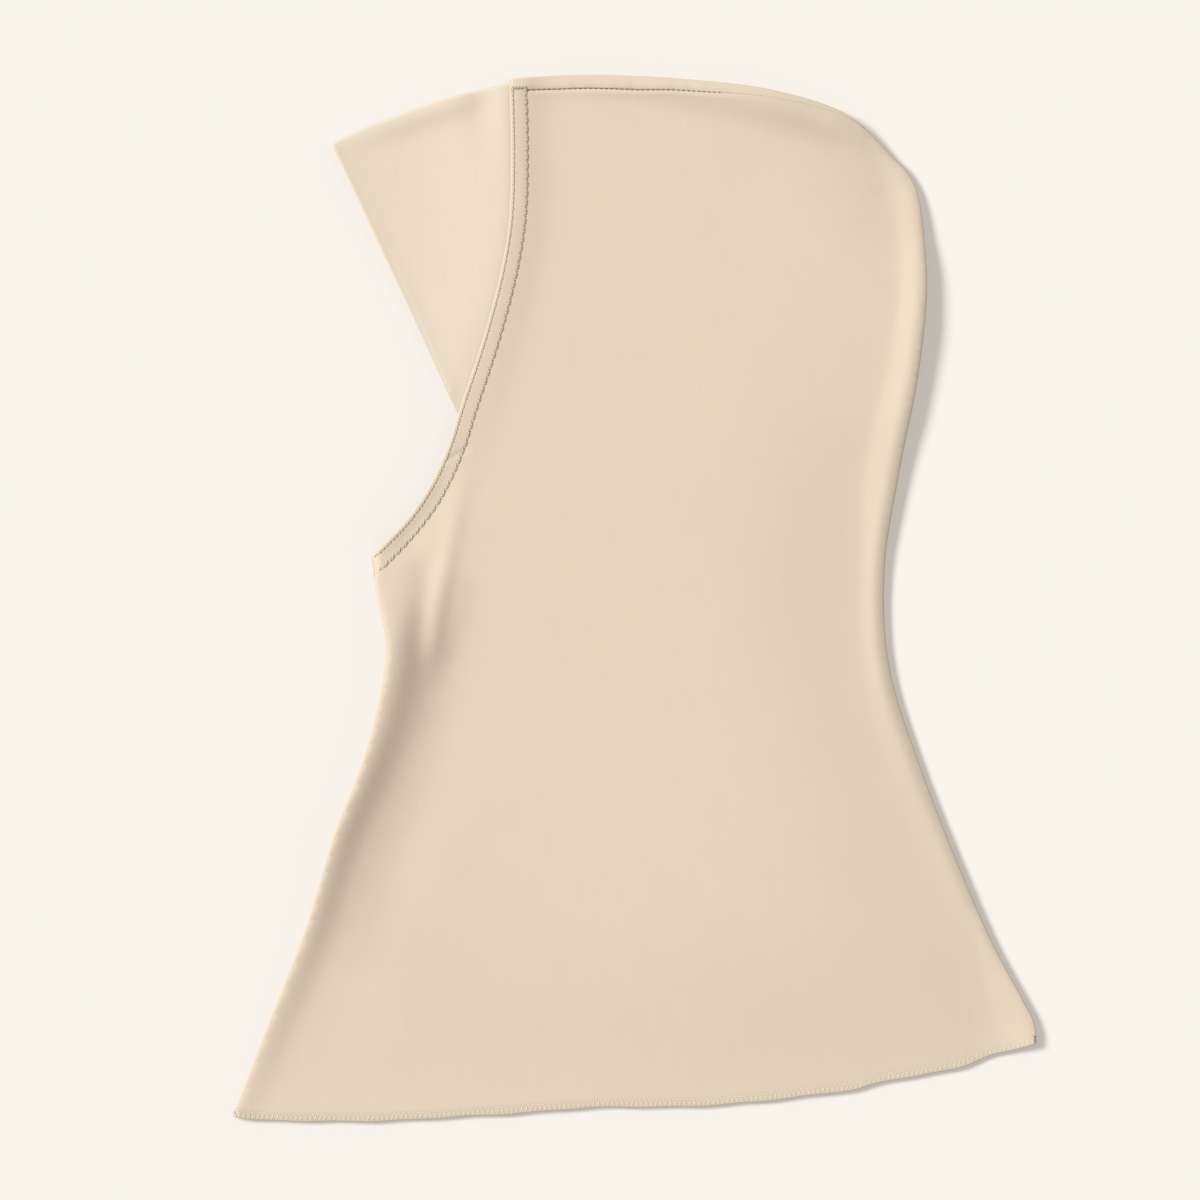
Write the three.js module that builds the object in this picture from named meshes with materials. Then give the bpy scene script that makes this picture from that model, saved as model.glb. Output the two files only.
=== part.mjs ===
// Instant hijab: a pull-on jersey hood with a soft visor, lying on its side and folded along its centre line.
// Millimetres. +X points to the back of the head, +Y to the crown, +Z up from the table, which is z = 0.
// Every wall is a sheet worked out on one shape: two layers that meet in a rounded roll along the folds.

import * as THREE from 'three';
import { mergeVertices } from 'three/addons/utils/BufferGeometryUtils.js';

// Thickness of the walls
const JERSEY = 1.2;
const VISOR_WALL = 2.0;
const BAND_WALL = 2.4;
const HEM_WALL = 2.0;

// Heights above the table
const FOLD_LEVEL = 5.6;
const NEAR_LEVEL = 9.6;
const BAND_LEVEL = NEAR_LEVEL - JERSEY / 2 + BAND_WALL / 2;

// The roll of a folded edge, and the ridge where the cloth springs up beside it
const ROLL = 3.0;
const RIDGE_WIDTH = 12.0;

// Widths
const HEM_WIDTH = 4.0;
const VISOR_TUCK = 5.5;
const GAP = 0.3;
const BAND_GAP = 0.8;

// Front fold, from the hem up to the chin: place and height of the ridge beside it
const FRONT_FOLD = [
  { x: -200.5, y: -259.0, ridge: 0.6 },
  { x: -182.5, y: -212.5, ridge: 1.7 },
  { x: -163.8, y: -164.5, ridge: 3.1 },
  { x: -149.0, y: -116.5, ridge: 4.2 },
  { x: -135.0, y: -80.5, ridge: 4.3 },
  { x: -126.8, y: -50.0, ridge: 3.6 },
  { x: -123.4, y: -24.0, ridge: 2.4 },
  { x: -128.5, y: 3.5, ridge: 1.0 },
  { x: -131.0, y: 21.5, ridge: 0.2 },
];

// Crown and back fold, from the face opening over the head and down the back to the hem
const CROWN_AND_BACK = [
  { x: -64.0, y: 259.0, ridge: 0.2 },
  { x: -16.5, y: 261.5, ridge: 0.3 },
  { x: 27.5, y: 259.6, ridge: 0.3 },
  { x: 73.0, y: 253.6, ridge: 0.4 },
  { x: 108.0, y: 241.5, ridge: 0.3 },
  { x: 131.0, y: 219.8, ridge: 0.2 },
  { x: 144.5, y: 187.5, ridge: 0.2 },
  { x: 147.0, y: 155.0, ridge: 0.6 },
  { x: 142.0, y: 111.5, ridge: 0.5 },
  { x: 132.0, y: 63.5, ridge: 0.4 },
  { x: 125.2, y: 16.0, ridge: 0.4 },
  { x: 127.2, y: -32.5, ridge: 0.4 },
  { x: 142.5, y: -80.5, ridge: 0.3 },
  { x: 171.0, y: -152.5, ridge: 0.3 },
  { x: 200.5, y: -219.5, ridge: 0.2 },
];

// Face opening, from the chin up to the crown: outer and inner edge of the turned band
const FACE_EDGE = [
  { outerX: -130.8, outerY: 21.5, innerX: -128.7, innerY: 11.0 },
  { outerX: -124.5, outerY: 27.5, innerX: -119.5, innerY: 20.2 },
  { outerX: -113.0, outerY: 39.8, innerX: -107.2, innerY: 33.6 },
  { outerX: -102.5, outerY: 55.0, innerX: -95.2, innerY: 50.5 },
  { outerX: -93.0, outerY: 75.0, innerX: -85.2, innerY: 71.6 },
  { outerX: -86.0, outerY: 97.0, innerX: -78.0, innerY: 94.0 },
  { outerX: -74.2, outerY: 133.0, innerX: -66.0, innerY: 131.0 },
  { outerX: -65.8, outerY: 165.5, innerX: -57.5, innerY: 164.5 },
  { outerX: -62.0, outerY: 190.0, innerX: -53.5, innerY: 190.0 },
  { outerX: -61.0, outerY: 222.0, innerX: -52.4, innerY: 222.0 },
  { outerX: -61.8, outerY: 259.2, innerX: -53.2, innerY: 259.8 },
];

// Hem, from the front fold to the back fold: outer edge
const HEM = [
  { x: -200.5, y: -259.0 },
  { x: -186.0, y: -260.9 },
  { x: -118.0, y: -260.9 },
  { x: -68.5, y: -258.0 },
  { x: -15.0, y: -254.5 },
  { x: 46.0, y: -253.2 },
  { x: 99.5, y: -246.8 },
  { x: 147.5, y: -237.0 },
  { x: 200.5, y: -219.5 },
];

// Crown strip: how far the far panel shows on the near side, between the crown fold and the seam
const CROWN_STRIP = [
  { x: -60.0, width: 5.2 },
  { x: 3.5, width: 6.6 },
  { x: 40.0, width: 5.6 },
  { x: 61.0, width: 4.4 },
  { x: 90.0, width: 2.8 },
  { x: 114.5, width: 0.6 },
];

// Visor: top fold from the tip to the crown, and the lower end of its straight front edge
const VISOR_TOP = [
  { x: -151.0, y: 227.5 },
  { x: -140.5, y: 233.0 },
  { x: -116.5, y: 242.5 },
  { x: -92.5, y: 251.0 },
  { x: -74.0, y: 255.6 },
  { x: -62.5, y: 256.1 },
  { x: -56.5, y: 256.3 },
];
const VISOR_FOOT = { x: -86.2, y: 89.6 };
const VISOR_ROLL = 5.0;
const VISOR_TUCKED = { near: 7.6, far: 3.8 };
const VISOR_FREE = { near: 8.4, far: VISOR_WALL / 2 };
const VISOR_SETTLE = { near: 14.0, far: 12.0 };
const VISOR_CLEAR = 2.0;

// Folds and dents of the upper layer: how far it rises, its half width, and its line on the cloth
const CREASES = [
  { name: 'neck valley', rise: -1.5, width: 16, line: [[-95, -30], [-101, -78], [-122, -128], [-150, -190]] },
  { name: 'chin bulge', rise: 1.2, width: 9, line: [[-112, 22], [-108, 0], [-113, -28]] },
  { name: 'pleat of the chin', rise: -0.7, width: 7, line: [[-82, 58], [-87, 18], [-91, -18], [-101, -52]] },
  { name: 'dent below the crown', rise: -0.9, width: 7, line: [[8, 248], [55, 243], [92, 232], [112, 218]] },
  { name: 'spring at the crown', rise: 0.8, width: 9, line: [[-52, 250], [-53, 190], [-65, 132]] },
  { name: 'spring at the chin', rise: 0.8, width: 9, line: [[-65, 132], [-85, 72], [-107, 34]] },
];

// Where the whole fold settles on the table: how far the upper layer sinks. The fold line sinks half as far.
const SAGS = [
  { name: 'shoulder', depth: 1.4, width: 50, line: HEM.map(({ x, y }) => [x, y]) },
  { name: 'nape', depth: 2.6, width: 20, line: [[134, 70], [126, 40], [124, 0]] },
  { name: 'back', depth: 2.8, width: 22, line: [[126, -20], [132, -50], [150, -110], [165, -140]] },
  { name: 'back of the crown', depth: 1.2, width: 22, line: [[104, 245], [131, 222], [146, 190]] },
];

// Grids: turns of the roll, in degrees, that get a line of their own, and the mean sizes of the panels
const ROLL_ANGLES = [25, 50, 72, 90];
const MEAN_WIDTH = 300;
const HALF_LENGTH = 200;
const SAMPLE_STEP = 2.5;
const SEARCH_STEPS = 2000;
const SLOPE_STEP = 0.5;
const ROUNDING = 1e-6;
const WELD_REACH = 1e-4;

// Place on the crown and back fold where the top of a panel turns into its side
const CROWN_CORNER = { x: 123.0, y: 228.5 };
const CORNER_EASE = 0.8;

// Cells of the grids, and the shares of a line over which its end turns to meet a fold
const CELLS_ACROSS = 18;
const NEAR_ROWS = { belowChin: 13, aboveChin: 13 };
const FAR_ROWS = { belowChin: 7, aboveChin: 13 };
const VISOR_CELLS = { across: 7, along: 7 };
const BAND_CELLS = 22;
const HEM_CELLS = 22;
const STRIP_ROWS = 4;
const HEM_TURNS = 8;
const CHIN_TURNS = 16;
const VISOR_LENGTH = 150;
const VISOR_WIDTH = 85;

// Colours of the cloth
const COLOURS = { jersey: 0xe5d3bd, visor: 0xecdcc6, band: 0xe6d5bf, hem: 0xd4c6ad };

// Curve through the rows of a table, in plan; a third column rides along as z
function curveThrough(rows, third = () => 0) {
  const points = rows.map((row) => new THREE.Vector3(row.x, row.y, third(row)));
  return new THREE.CatmullRomCurve3(points, false, 'centripetal');
}

function sampled(curve) {
  return curve.getSpacedPoints(Math.ceil(curve.getLength() / SAMPLE_STEP));
}

function cubicStep(t) {
  const s = THREE.MathUtils.clamp(t, 0, 1);
  return s * s * (3 - 2 * s);
}

// Every line below runs clockwise round the cloth, so that the cloth is on its right
const frontFold = curveThrough(FRONT_FOLD, (row) => row.ridge);
const crownAndBack = curveThrough(CROWN_AND_BACK, (row) => row.ridge);
const visorTop = curveThrough(VISOR_TOP);
const bandOuter = curveThrough(FACE_EDGE.map((row) => ({ x: row.outerX, y: row.outerY })));
const bandInner = curveThrough(FACE_EDGE.map((row) => ({ x: row.innerX, y: row.innerY })));
const hemCurve = curveThrough(HEM);

const bodyFolds = [sampled(frontFold), sampled(crownAndBack)];
const visorFold = [sampled(visorTop)];
const faceLine = [sampled(bandOuter)];

// Nearest place on a set of lines: signed distance to the right of them, the way out, and the ridge there
function nearestOn(lines, x, y) {
  let best = { reach: Infinity };
  for (const line of lines) {
    for (let i = 0; i + 1 < line.length; i += 1) {
      const a = line[i];
      const b = line[i + 1];
      const length = Math.hypot(b.x - a.x, b.y - a.y);
      const along = ((x - a.x) * (b.x - a.x) + (y - a.y) * (b.y - a.y)) / (length * length);
      const t = THREE.MathUtils.clamp(along, 0, 1);
      const off = { x: x - a.x - t * (b.x - a.x), y: y - a.y - t * (b.y - a.y) };
      const reach = Math.hypot(off.x, off.y);
      if (reach < best.reach) {
        best = { reach, off, a, b, length, t };
      }
    }
  }
  const { reach, off, a, b, length, t } = best;
  const right = { x: (b.y - a.y) / length, y: (a.x - b.x) / length };
  const side = off.x * right.x + off.y * right.y < -ROUNDING ? -1 : 1;
  const pastEnd = reach > ROUNDING && (t === 0 || t === 1);
  const out = pastEnd
    ? { x: (-side * off.x) / reach, y: (-side * off.y) / reach }
    : { x: -right.x, y: -right.y };
  return { distance: side * reach, out, ridge: THREE.MathUtils.lerp(a.z, b.z, t) };
}

function distanceToLine(line, x, y) {
  let least = Infinity;
  for (let i = 0; i + 1 < line.length; i += 1) {
    const [ax, ay] = line[i];
    const [bx, by] = line[i + 1];
    const along = ((x - ax) * (bx - ax) + (y - ay) * (by - ay)) / ((bx - ax) ** 2 + (by - ay) ** 2);
    const t = THREE.MathUtils.clamp(along, 0, 1);
    least = Math.min(least, Math.hypot(x - ax - t * (bx - ax), y - ay - t * (by - ay)));
  }
  return least;
}

// Share of a crease or sag that is left beside its line
function fade({ line, width }, x, y) {
  const off = distanceToLine(line, x, y) / width;
  return Math.exp(-off * off);
}

function sag(x, y) {
  return SAGS.reduce((depth, row) => Math.hypot(depth, row.depth * fade(row, x, y)), 0);
}

// Heights of the middle of a wall, away from the roll at a fold
function nearHeight(x, y) {
  const { distance, ridge } = nearestOn(bodyFolds, x, y);
  const away = Math.max(0, distance - ROLL) / RIDGE_WIDTH;
  const creases = CREASES.reduce((sum, crease) => sum + crease.rise * fade(crease, x, y), 0);
  return NEAR_LEVEL - sag(x, y) + ridge * Math.exp(-away * away) + creases;
}

function visorHeight(layer, x, y) {
  const off = -nearestOn(faceLine, x, y).distance - VISOR_CLEAR;
  return THREE.MathUtils.lerp(VISOR_TUCKED[layer], VISOR_FREE[layer], cubicStep(off / VISOR_SETTLE[layer]));
}

// Layers of the sheets: level is the height of the fold line, height that of the flat, up its outer side
const flat = (z) => () => z;
const foldLevel = (offset) => (x, y) => FOLD_LEVEL - sag(x, y) / 2 + offset;
const body = { folds: bodyFolds, roll: ROLL, level: foldLevel(0) };
const nearJersey = { ...body, wall: JERSEY, up: 1, level: foldLevel(GAP / 2), height: nearHeight };
const farJersey = { ...body, wall: JERSEY, up: -1, level: foldLevel(-GAP / 2), height: flat(JERSEY / 2) };
const farStrip = { ...nearJersey, level: farJersey.level };
const nearBand = { ...body, wall: BAND_WALL, up: 1, height: flat(BAND_LEVEL) };
const farBand = { ...nearBand, up: -1, height: flat(BAND_WALL / 2) };
const nearHem = { ...body, wall: HEM_WALL, up: 1, height: nearHeight };
const farHem = { ...nearHem, up: -1, height: flat(HEM_WALL / 2) };
const visorMiddle = (x, y) => (visorHeight('near', x, y) + visorHeight('far', x, y)) / 2;
const brim = { folds: visorFold, roll: VISOR_ROLL, wall: VISOR_WALL, level: visorMiddle };
const nearBrim = { ...brim, up: 1, height: (x, y) => visorHeight('near', x, y) };
const farBrim = { ...brim, up: -1, height: (x, y) => visorHeight('far', x, y) };

function slope(height, x, y) {
  return {
    x: (height(x + SLOPE_STEP, y) - height(x - SLOPE_STEP, y)) / (2 * SLOPE_STEP),
    y: (height(x, y + SLOPE_STEP) - height(x, y - SLOPE_STEP)) / (2 * SLOPE_STEP),
  };
}

// Both faces of a wall over a plan point. Its middle rolls over at the folds as a quarter ellipse.
function wallAt(layer, point, leastInset = 0) {
  const { folds, roll, wall, up } = layer;
  const { distance, out } = nearestOn(folds, point.x, point.y);
  const shortfall = Math.max(0, Math.max(wall / 2, leastInset) - distance);
  const x = point.x - out.x * shortfall;
  const y = point.y - out.y * shortfall;
  const t = Math.min(1, (distance + shortfall - wall / 2) / roll);
  const swell = Math.sqrt(Math.max(0, 1 - (1 - t) ** 2));
  const level = layer.level(x, y);
  const rise = layer.height(x, y) - level;
  const low = slope(layer.level, x, y);
  const high = slope(layer.height, x, y);
  const turn = (Math.abs(rise) * (1 - t)) / roll;
  const tilt = (axis) => swell * low[axis] + swell * swell * (high[axis] - low[axis]);
  const normal = new THREE.Vector3(turn * out.x - up * tilt('x'), turn * out.y - up * tilt('y'), up * swell);
  normal.normalize();
  const middle = new THREE.Vector3(x, y, level + rise * swell);
  return {
    outer: middle.clone().addScaledVector(normal, wall / 2),
    inner: middle.clone().addScaledVector(normal, -wall / 2),
  };
}

// Joins equal corners and drops the triangles that have closed up
function weld(positions, triangles) {
  const loose = new THREE.BufferGeometry();
  loose.setAttribute('position', new THREE.Float32BufferAttribute(positions, 3));
  loose.setIndex(triangles);
  const merged = mergeVertices(loose, WELD_REACH);
  const corners = Array.from(merged.index.array);
  const kept = [];
  for (let i = 0; i < corners.length; i += 3) {
    const [a, b, c] = corners.slice(i, i + 3);
    if (a !== b && b !== c && c !== a) {
      kept.push(a, b, c);
    }
  }
  merged.setIndex(kept);
  merged.computeVertexNormals();
  return merged;
}

// Closed solid from a grid of wall places. A closed sheet joins its last column to its first.
function sheetSolid(rows, closed = false) {
  const columns = rows[0].length;
  const positions = [];
  for (const face of ['outer', 'inner']) {
    for (const place of rows.flat()) {
      positions.push(place[face].x, place[face].y, place[face].z);
    }
  }
  const triangles = [];
  const outer = (j, i) => j * columns + (i % columns);
  const inner = (j, i) => rows.length * columns + outer(j, i);
  const quad = (a, b, c, d) => triangles.push(a, b, c, a, c, d);
  const lastRow = rows.length - 1;
  const spans = closed ? columns : columns - 1;
  for (let i = 0; i < spans; i += 1) {
    for (let j = 0; j < lastRow; j += 1) {
      quad(outer(j, i), outer(j, i + 1), outer(j + 1, i + 1), outer(j + 1, i));
      quad(inner(j, i), inner(j + 1, i), inner(j + 1, i + 1), inner(j, i + 1));
    }
    quad(outer(0, i + 1), outer(0, i), inner(0, i), inner(0, i + 1));
    quad(outer(lastRow, i), outer(lastRow, i + 1), inner(lastRow, i + 1), inner(lastRow, i));
  }
  if (!closed) {
    for (let j = 0; j < lastRow; j += 1) {
      quad(outer(j, 0), outer(j + 1, 0), inner(j + 1, 0), inner(j, 0));
      quad(outer(j + 1, spans), outer(j, spans), inner(j, spans), inner(j + 1, spans));
    }
  }
  return weld(positions, triangles);
}

// How far inside a fold the grid lines over its roll lie
function rollInsets(wall) {
  return ROLL_ANGLES.map((angle) => wall / 2 + ROLL * (1 - Math.cos(THREE.MathUtils.degToRad(angle))));
}

// Shares of a side from 0 to 1: close together over the roll at the chosen ends, evenly spread between
function spread(cells, length, wall, rollAtStart, rollAtEnd) {
  const near = rollInsets(wall).map((inset) => inset / length);
  const start = rollAtStart ? [0, ...near] : [0];
  const end = rollAtEnd ? [...near.map((share) => 1 - share).reverse(), 1] : [1];
  const from = start[start.length - 1];
  const middle = Array.from({ length: cells - 1 }, (_, i) => from + ((end[0] - from) * (i + 1)) / cells);
  return [...start, ...middle, ...end];
}

function shareNearest(curve, x, y) {
  const reaches = Array.from({ length: SEARCH_STEPS + 1 }, (_, i) => {
    const point = curve.getPointAt(i / SEARCH_STEPS);
    return Math.hypot(point.x - x, point.y - y);
  });
  return reaches.indexOf(Math.min(...reaches)) / SEARCH_STEPS;
}

// Plan point beside a curve, to its right
function beside(curve, share, offset) {
  const point = curve.getPointAt(share);
  const tangent = curve.getTangentAt(share);
  const scale = offset / Math.hypot(tangent.x, tangent.y);
  return new THREE.Vector3(point.x + tangent.y * scale, point.y - tangent.x * scale, 0);
}

// Point of a patch between four sides that share their corners
function coons({ bottom, top, left, right }, u, v) {
  const point = new THREE.Vector3();
  point.addScaledVector(bottom(u), 1 - v).addScaledVector(top(u), v);
  point.addScaledVector(left(v), 1 - u).addScaledVector(right(v), u);
  point.addScaledVector(bottom(0), (u - 1) * (1 - v)).addScaledVector(bottom(1), -u * (1 - v));
  point.addScaledVector(top(0), (u - 1) * v).addScaledVector(top(1), -u * v);
  return point;
}

// Where the sides of the panels begin and end, as shares of their curves
const chin = FACE_EDGE[0];
const crown = FACE_EDGE[FACE_EDGE.length - 1];
const frontLength = frontFold.getLength();
const backLength = crownAndBack.getLength();
const chinShare = shareNearest(frontFold, chin.innerX, chin.innerY) - BAND_GAP / frontLength;
const crownShare = shareNearest(crownAndBack, crown.innerX, crown.innerY) + BAND_GAP / backLength;
const cornerShare = shareNearest(crownAndBack, CROWN_CORNER.x, CROWN_CORNER.y);

// Line above the hem, whose ends run up the two folds
function hemLine(share, inset) {
  const line = beside(hemCurve, share, -inset);
  const toLeft = frontFold.getPointAt(inset / frontLength).sub(beside(hemCurve, 0, -inset));
  const toRight = crownAndBack.getPointAt(1 - inset / backLength).sub(beside(hemCurve, 1, -inset));
  line.addScaledVector(toLeft, cubicStep(1 - share * HEM_TURNS));
  return line.addScaledVector(toRight, cubicStep(1 - (1 - share) * HEM_TURNS));
}

function crownLine(u) {
  return crownAndBack.getPointAt(THREE.MathUtils.lerp(crownShare, cornerShare, u));
}

// How far past the fold's own half wall the strip reaches to the crown seam
function stripReach(x) {
  const last = CROWN_STRIP.length - 1;
  const i = CROWN_STRIP.findIndex((row) => row.x > x);
  const from = CROWN_STRIP[i < 0 ? last : Math.max(0, i - 1)];
  const to = CROWN_STRIP[i < 0 ? last : i];
  const width = from === to ? from.width : THREE.MathUtils.mapLinear(x, from.x, to.x, from.width, to.width);
  return Math.max(0, width - JERSEY / 2);
}

// Plan point on the upper side of the crown roll, from the fold at share 0 to the seam at share 1
function overCrown(u, share, gap) {
  const edge = crownLine(u);
  const { out } = nearestOn(bodyFolds, edge.x, edge.y);
  const reach = stripReach(edge.x);
  const turn = Math.acos(1 - Math.min(1, reach / ROLL));
  const across = JERSEY / 2 + reach * (1 - Math.cos((share * Math.PI) / 2)) + gap * Math.sin(turn);
  const inset = reach > 0 ? across : 0;
  return new THREE.Vector3(edge.x - out.x * inset, edge.y - out.y * inset, 0);
}

// Sides of a panel under a given top line. The left one is the front fold up to the chin, then the band.
function panelSides(top) {
  const endShare = shareNearest(bandInner, top(0).x - BAND_GAP, top(0).y);
  const bandLine = (share) => beside(bandInner, share * endShare, BAND_GAP);
  const chinPoint = frontFold.getPointAt(chinShare);
  const hemShare = 1 - (HEM_WIDTH + GAP) / backLength;
  const atChin = chinPoint.clone().sub(bandLine(0)).setZ(0);
  const atCrown = top(0).sub(bandLine(1)).setZ(0);
  return {
    bottom: (u) => hemLine(u, HEM_WIDTH + GAP),
    top,
    left: (v) => {
      if (v <= 0.5) {
        return frontFold.getPointAt(THREE.MathUtils.lerp((HEM_WIDTH + GAP) / frontLength, chinShare, 2 * v));
      }
      const share = 2 * v - 1;
      const fade = cubicStep(1 - share * CHIN_TURNS);
      return bandLine(share).addScaledVector(atChin, fade).addScaledVector(atCrown, share);
    },
    right: (v) => crownAndBack.getPointAt(THREE.MathUtils.lerp(hemShare, cornerShare, v)),
  };
}

// Rows of a panel, with one at the chin
function panelRows({ belowChin, aboveChin }) {
  const below = Array.from({ length: belowChin }, (_, i) => i / (2 * belowChin));
  return [...below, ...spread(aboveChin, HALF_LENGTH, JERSEY, true, true).map((share) => (1 + share) / 2)];
}

// Walls of a panel. The grid lines beside the round corner at the back of the crown keep off the fold.
function panelWalls(layer, sides, us, vs) {
  const insets = [0, ...rollInsets(JERSEY).map((inset) => inset * CORNER_EASE)];
  return vs.map((v, j) => us.map((u, i) => {
    const byCorner = u > 0.5 && v > 0.5;
    const ring = Math.min(us.length - 1 - i, vs.length - 1 - j, ROLL_ANGLES.length);
    return wallAt(layer, coons(sides, u, v), byCorner ? insets[ring] : 0);
  }));
}

function nearPanel() {
  const us = spread(CELLS_ACROSS, MEAN_WIDTH, JERSEY, true, true);
  const sides = panelSides((u) => overCrown(u, 1, GAP));
  return sheetSolid(panelWalls(nearJersey, sides, us, panelRows(NEAR_ROWS)));
}

// The far panel goes on over the crown fold, up to the seam
function farPanel() {
  const us = spread(CELLS_ACROSS, MEAN_WIDTH, JERSEY, true, true);
  const rows = panelWalls(farJersey, panelSides(crownLine), us, panelRows(FAR_ROWS));
  for (let k = 1; k <= STRIP_ROWS; k += 1) {
    rows.push(us.map((u) => wallAt(farStrip, overCrown(u, k / STRIP_ROWS, 0))));
  }
  return sheetSolid(rows.map((row) => row.reverse()));
}

// Whole loop of a trim: its near half and, under it, its far half. Both meet where they roll over a fold.
function loop(near, far, shares, edges) {
  const back = shares.slice(1, -1).reverse();
  const places = [...shares.map((share) => [near, share]), ...back.map((share) => [far, share])];
  const rows = [0, 0.5, 1].map((across) => places.map(([layer, share]) => {
    const { outer, inner } = edges(share);
    return wallAt(layer, outer.lerp(inner, across));
  }));
  return sheetSolid(rows, true);
}

function faceBand() {
  const shares = spread(BAND_CELLS, HALF_LENGTH, BAND_WALL, true, true).reverse();
  return loop(nearBand, farBand, shares, (share) => ({
    outer: bandOuter.getPointAt(share),
    inner: bandInner.getPointAt(share),
  }));
}

function hemEdge() {
  const shares = spread(HEM_CELLS, hemCurve.getLength(), HEM_WALL, true, true);
  return loop(nearHem, farHem, shares, (share) => ({
    outer: hemCurve.getPointAt(share),
    inner: hemLine(share, HEM_WIDTH),
  }));
}

// The visor is one doubled sheet that folds over along its top, tucked under the band all round
function visorSheet() {
  const top = (u) => visorTop.getPointAt(u);
  const tuckStart = shareNearest(bandOuter, VISOR_FOOT.x, VISOR_FOOT.y);
  const tuckEnd = shareNearest(bandOuter, top(1).x - VISOR_TUCK, top(1).y);
  const tuck = (v) => beside(bandOuter, THREE.MathUtils.lerp(tuckStart, tuckEnd, v), VISOR_TUCK);
  const foot = new THREE.Vector3(VISOR_FOOT.x, VISOR_FOOT.y, 0);
  const toTop = top(1).sub(tuck(1));
  const sides = {
    bottom: (u) => foot.clone().lerp(tuck(0), u),
    top,
    left: (v) => foot.clone().lerp(top(0), v),
    right: (v) => tuck(v).addScaledVector(toTop, v),
  };
  const lastFree = 1 - (2 * (VISOR_TUCK + VISOR_CLEAR)) / VISOR_WIDTH;
  const free = Array.from({ length: VISOR_CELLS.across + 1 }, (_, i) => (lastFree * i) / VISOR_CELLS.across);
  const us = [...free, (1 + lastFree) / 2, 1];
  const vs = spread(VISOR_CELLS.along, VISOR_LENGTH, VISOR_WALL, true, true);
  const layerRows = (layer, shares) => shares.map((v) => us.map((u) => wallAt(layer, coons(sides, u, v))));
  return sheetSolid([...layerRows(nearBrim, vs), ...layerRows(farBrim, vs.slice(0, -1).reverse())]);
}

function piece(name, geometry, color) {
  const cloth = new THREE.MeshStandardMaterial({ color, roughness: 0.9, metalness: 0 });
  const mesh = new THREE.Mesh(geometry, cloth);
  mesh.name = name;
  return mesh;
}

const hijab = new THREE.Group();
hijab.add(
  piece('near_panel', nearPanel(), COLOURS.jersey),
  piece('far_panel', farPanel(), COLOURS.jersey),
  piece('visor', visorSheet(), COLOURS.visor),
  piece('face_band', faceBand(), COLOURS.band),
  piece('hem_edge', hemEdge(), COLOURS.hem),
);

export default hijab;
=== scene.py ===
"""Looks of an instant hijab: a jersey hood lying on its side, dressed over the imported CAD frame.

Sizes in the tables are millimetres, and meshes are written in metres. +X points to the back of the head,
+Y to the crown and +Z up from the floor. The cloth is shaped in code, as two layers that meet in a roll.
"""

import logging
import math
from collections.abc import Callable
from dataclasses import dataclass
from enum import Enum

import bpy
import numpy as np
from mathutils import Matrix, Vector
from mathutils.geometry import delaunay_2d_cdt


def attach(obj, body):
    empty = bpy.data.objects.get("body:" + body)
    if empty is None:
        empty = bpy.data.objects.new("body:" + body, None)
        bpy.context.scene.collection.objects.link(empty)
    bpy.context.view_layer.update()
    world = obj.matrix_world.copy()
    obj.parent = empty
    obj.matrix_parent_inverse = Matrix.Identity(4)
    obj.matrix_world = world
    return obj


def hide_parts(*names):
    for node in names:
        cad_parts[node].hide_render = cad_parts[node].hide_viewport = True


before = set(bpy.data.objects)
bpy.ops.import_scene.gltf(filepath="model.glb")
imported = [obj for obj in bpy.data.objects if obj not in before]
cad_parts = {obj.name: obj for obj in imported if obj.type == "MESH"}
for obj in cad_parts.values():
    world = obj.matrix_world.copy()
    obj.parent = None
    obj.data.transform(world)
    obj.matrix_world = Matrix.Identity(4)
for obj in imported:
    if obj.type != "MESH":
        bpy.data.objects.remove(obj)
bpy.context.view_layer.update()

LOG = logging.getLogger("hijab")
Array = np.ndarray
Piece = bpy.types.Object
Runs = tuple[list[Array], list[Array]]
MM = 0.001

# Points in a span of a curve, places worked out at once, and how far to either side of a place
# a line's direction and a slope are read
SPAN_POINTS = 24
CHUNK = 3000
TANGENT_REACH = 1.5
SLOPE_STEP = 0.4

# Heights above the floor and thicknesses of the cloth
JERSEY = 0.7
FOLD_LEVEL = 5.6
NEAR_LEVEL = 9.6
FAR_LEVEL = 0.5
BAND_LEVEL = 9.65
BAND_FAR_LEVEL = 1.1
HEM_FAR_LEVEL = 0.9
HEM_WIDTH = 4.0

# Roll of the cloth at a fold: its depth in the upper and in the lower layer, the turns at which lines
# of vertices follow it with their distances inside the fold, and how softly a ridge beside the fold
# leaves its crest and ends at its foot
ROLL = 0.2
FAR_ROLL = 5.0
ROLL_ANGLES = (12.0, 24.0, 36.0, 48.0, 60.0, 72.0, 82.0, 90.0)
ROLL_INSETS = tuple(ROLL * (1.0 - np.cos(np.radians(ROLL_ANGLES))))
CREST_ROUND = 0.3
FOOT_SOFTNESS = 0.03

# Front fold from the hem up to the chin: place, height and width of the ridge beside it, how far
# inside the fold its crest lies, and how far the cloth drops from the crest to the fold
FRONT_FOLD = (
    (-200.5, -259.0, 0.9, 8.0, 1.5, 0.1),
    (-182.5, -212.5, 2.2, 9.0, 1.2, 0.1),
    (-163.8, -164.5, 4.1, 10.0, 1.0, 0.1),
    (-149.0, -116.5, 5.4, 10.5, 1.0, 0.1),
    (-135.0, -80.5, 6.0, 11.5, 1.5, 0.2),
    (-126.8, -50.0, 6.0, 13.0, 2.2, 0.3),
    (-123.4, -24.0, 5.2, 13.0, 2.5, 0.4),
    (-128.5, 3.5, 3.0, 14.0, 3.0, 0.5),
    (-131.0, 21.5, 0.6, 9.0, 3.0, 0.3),
)

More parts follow.
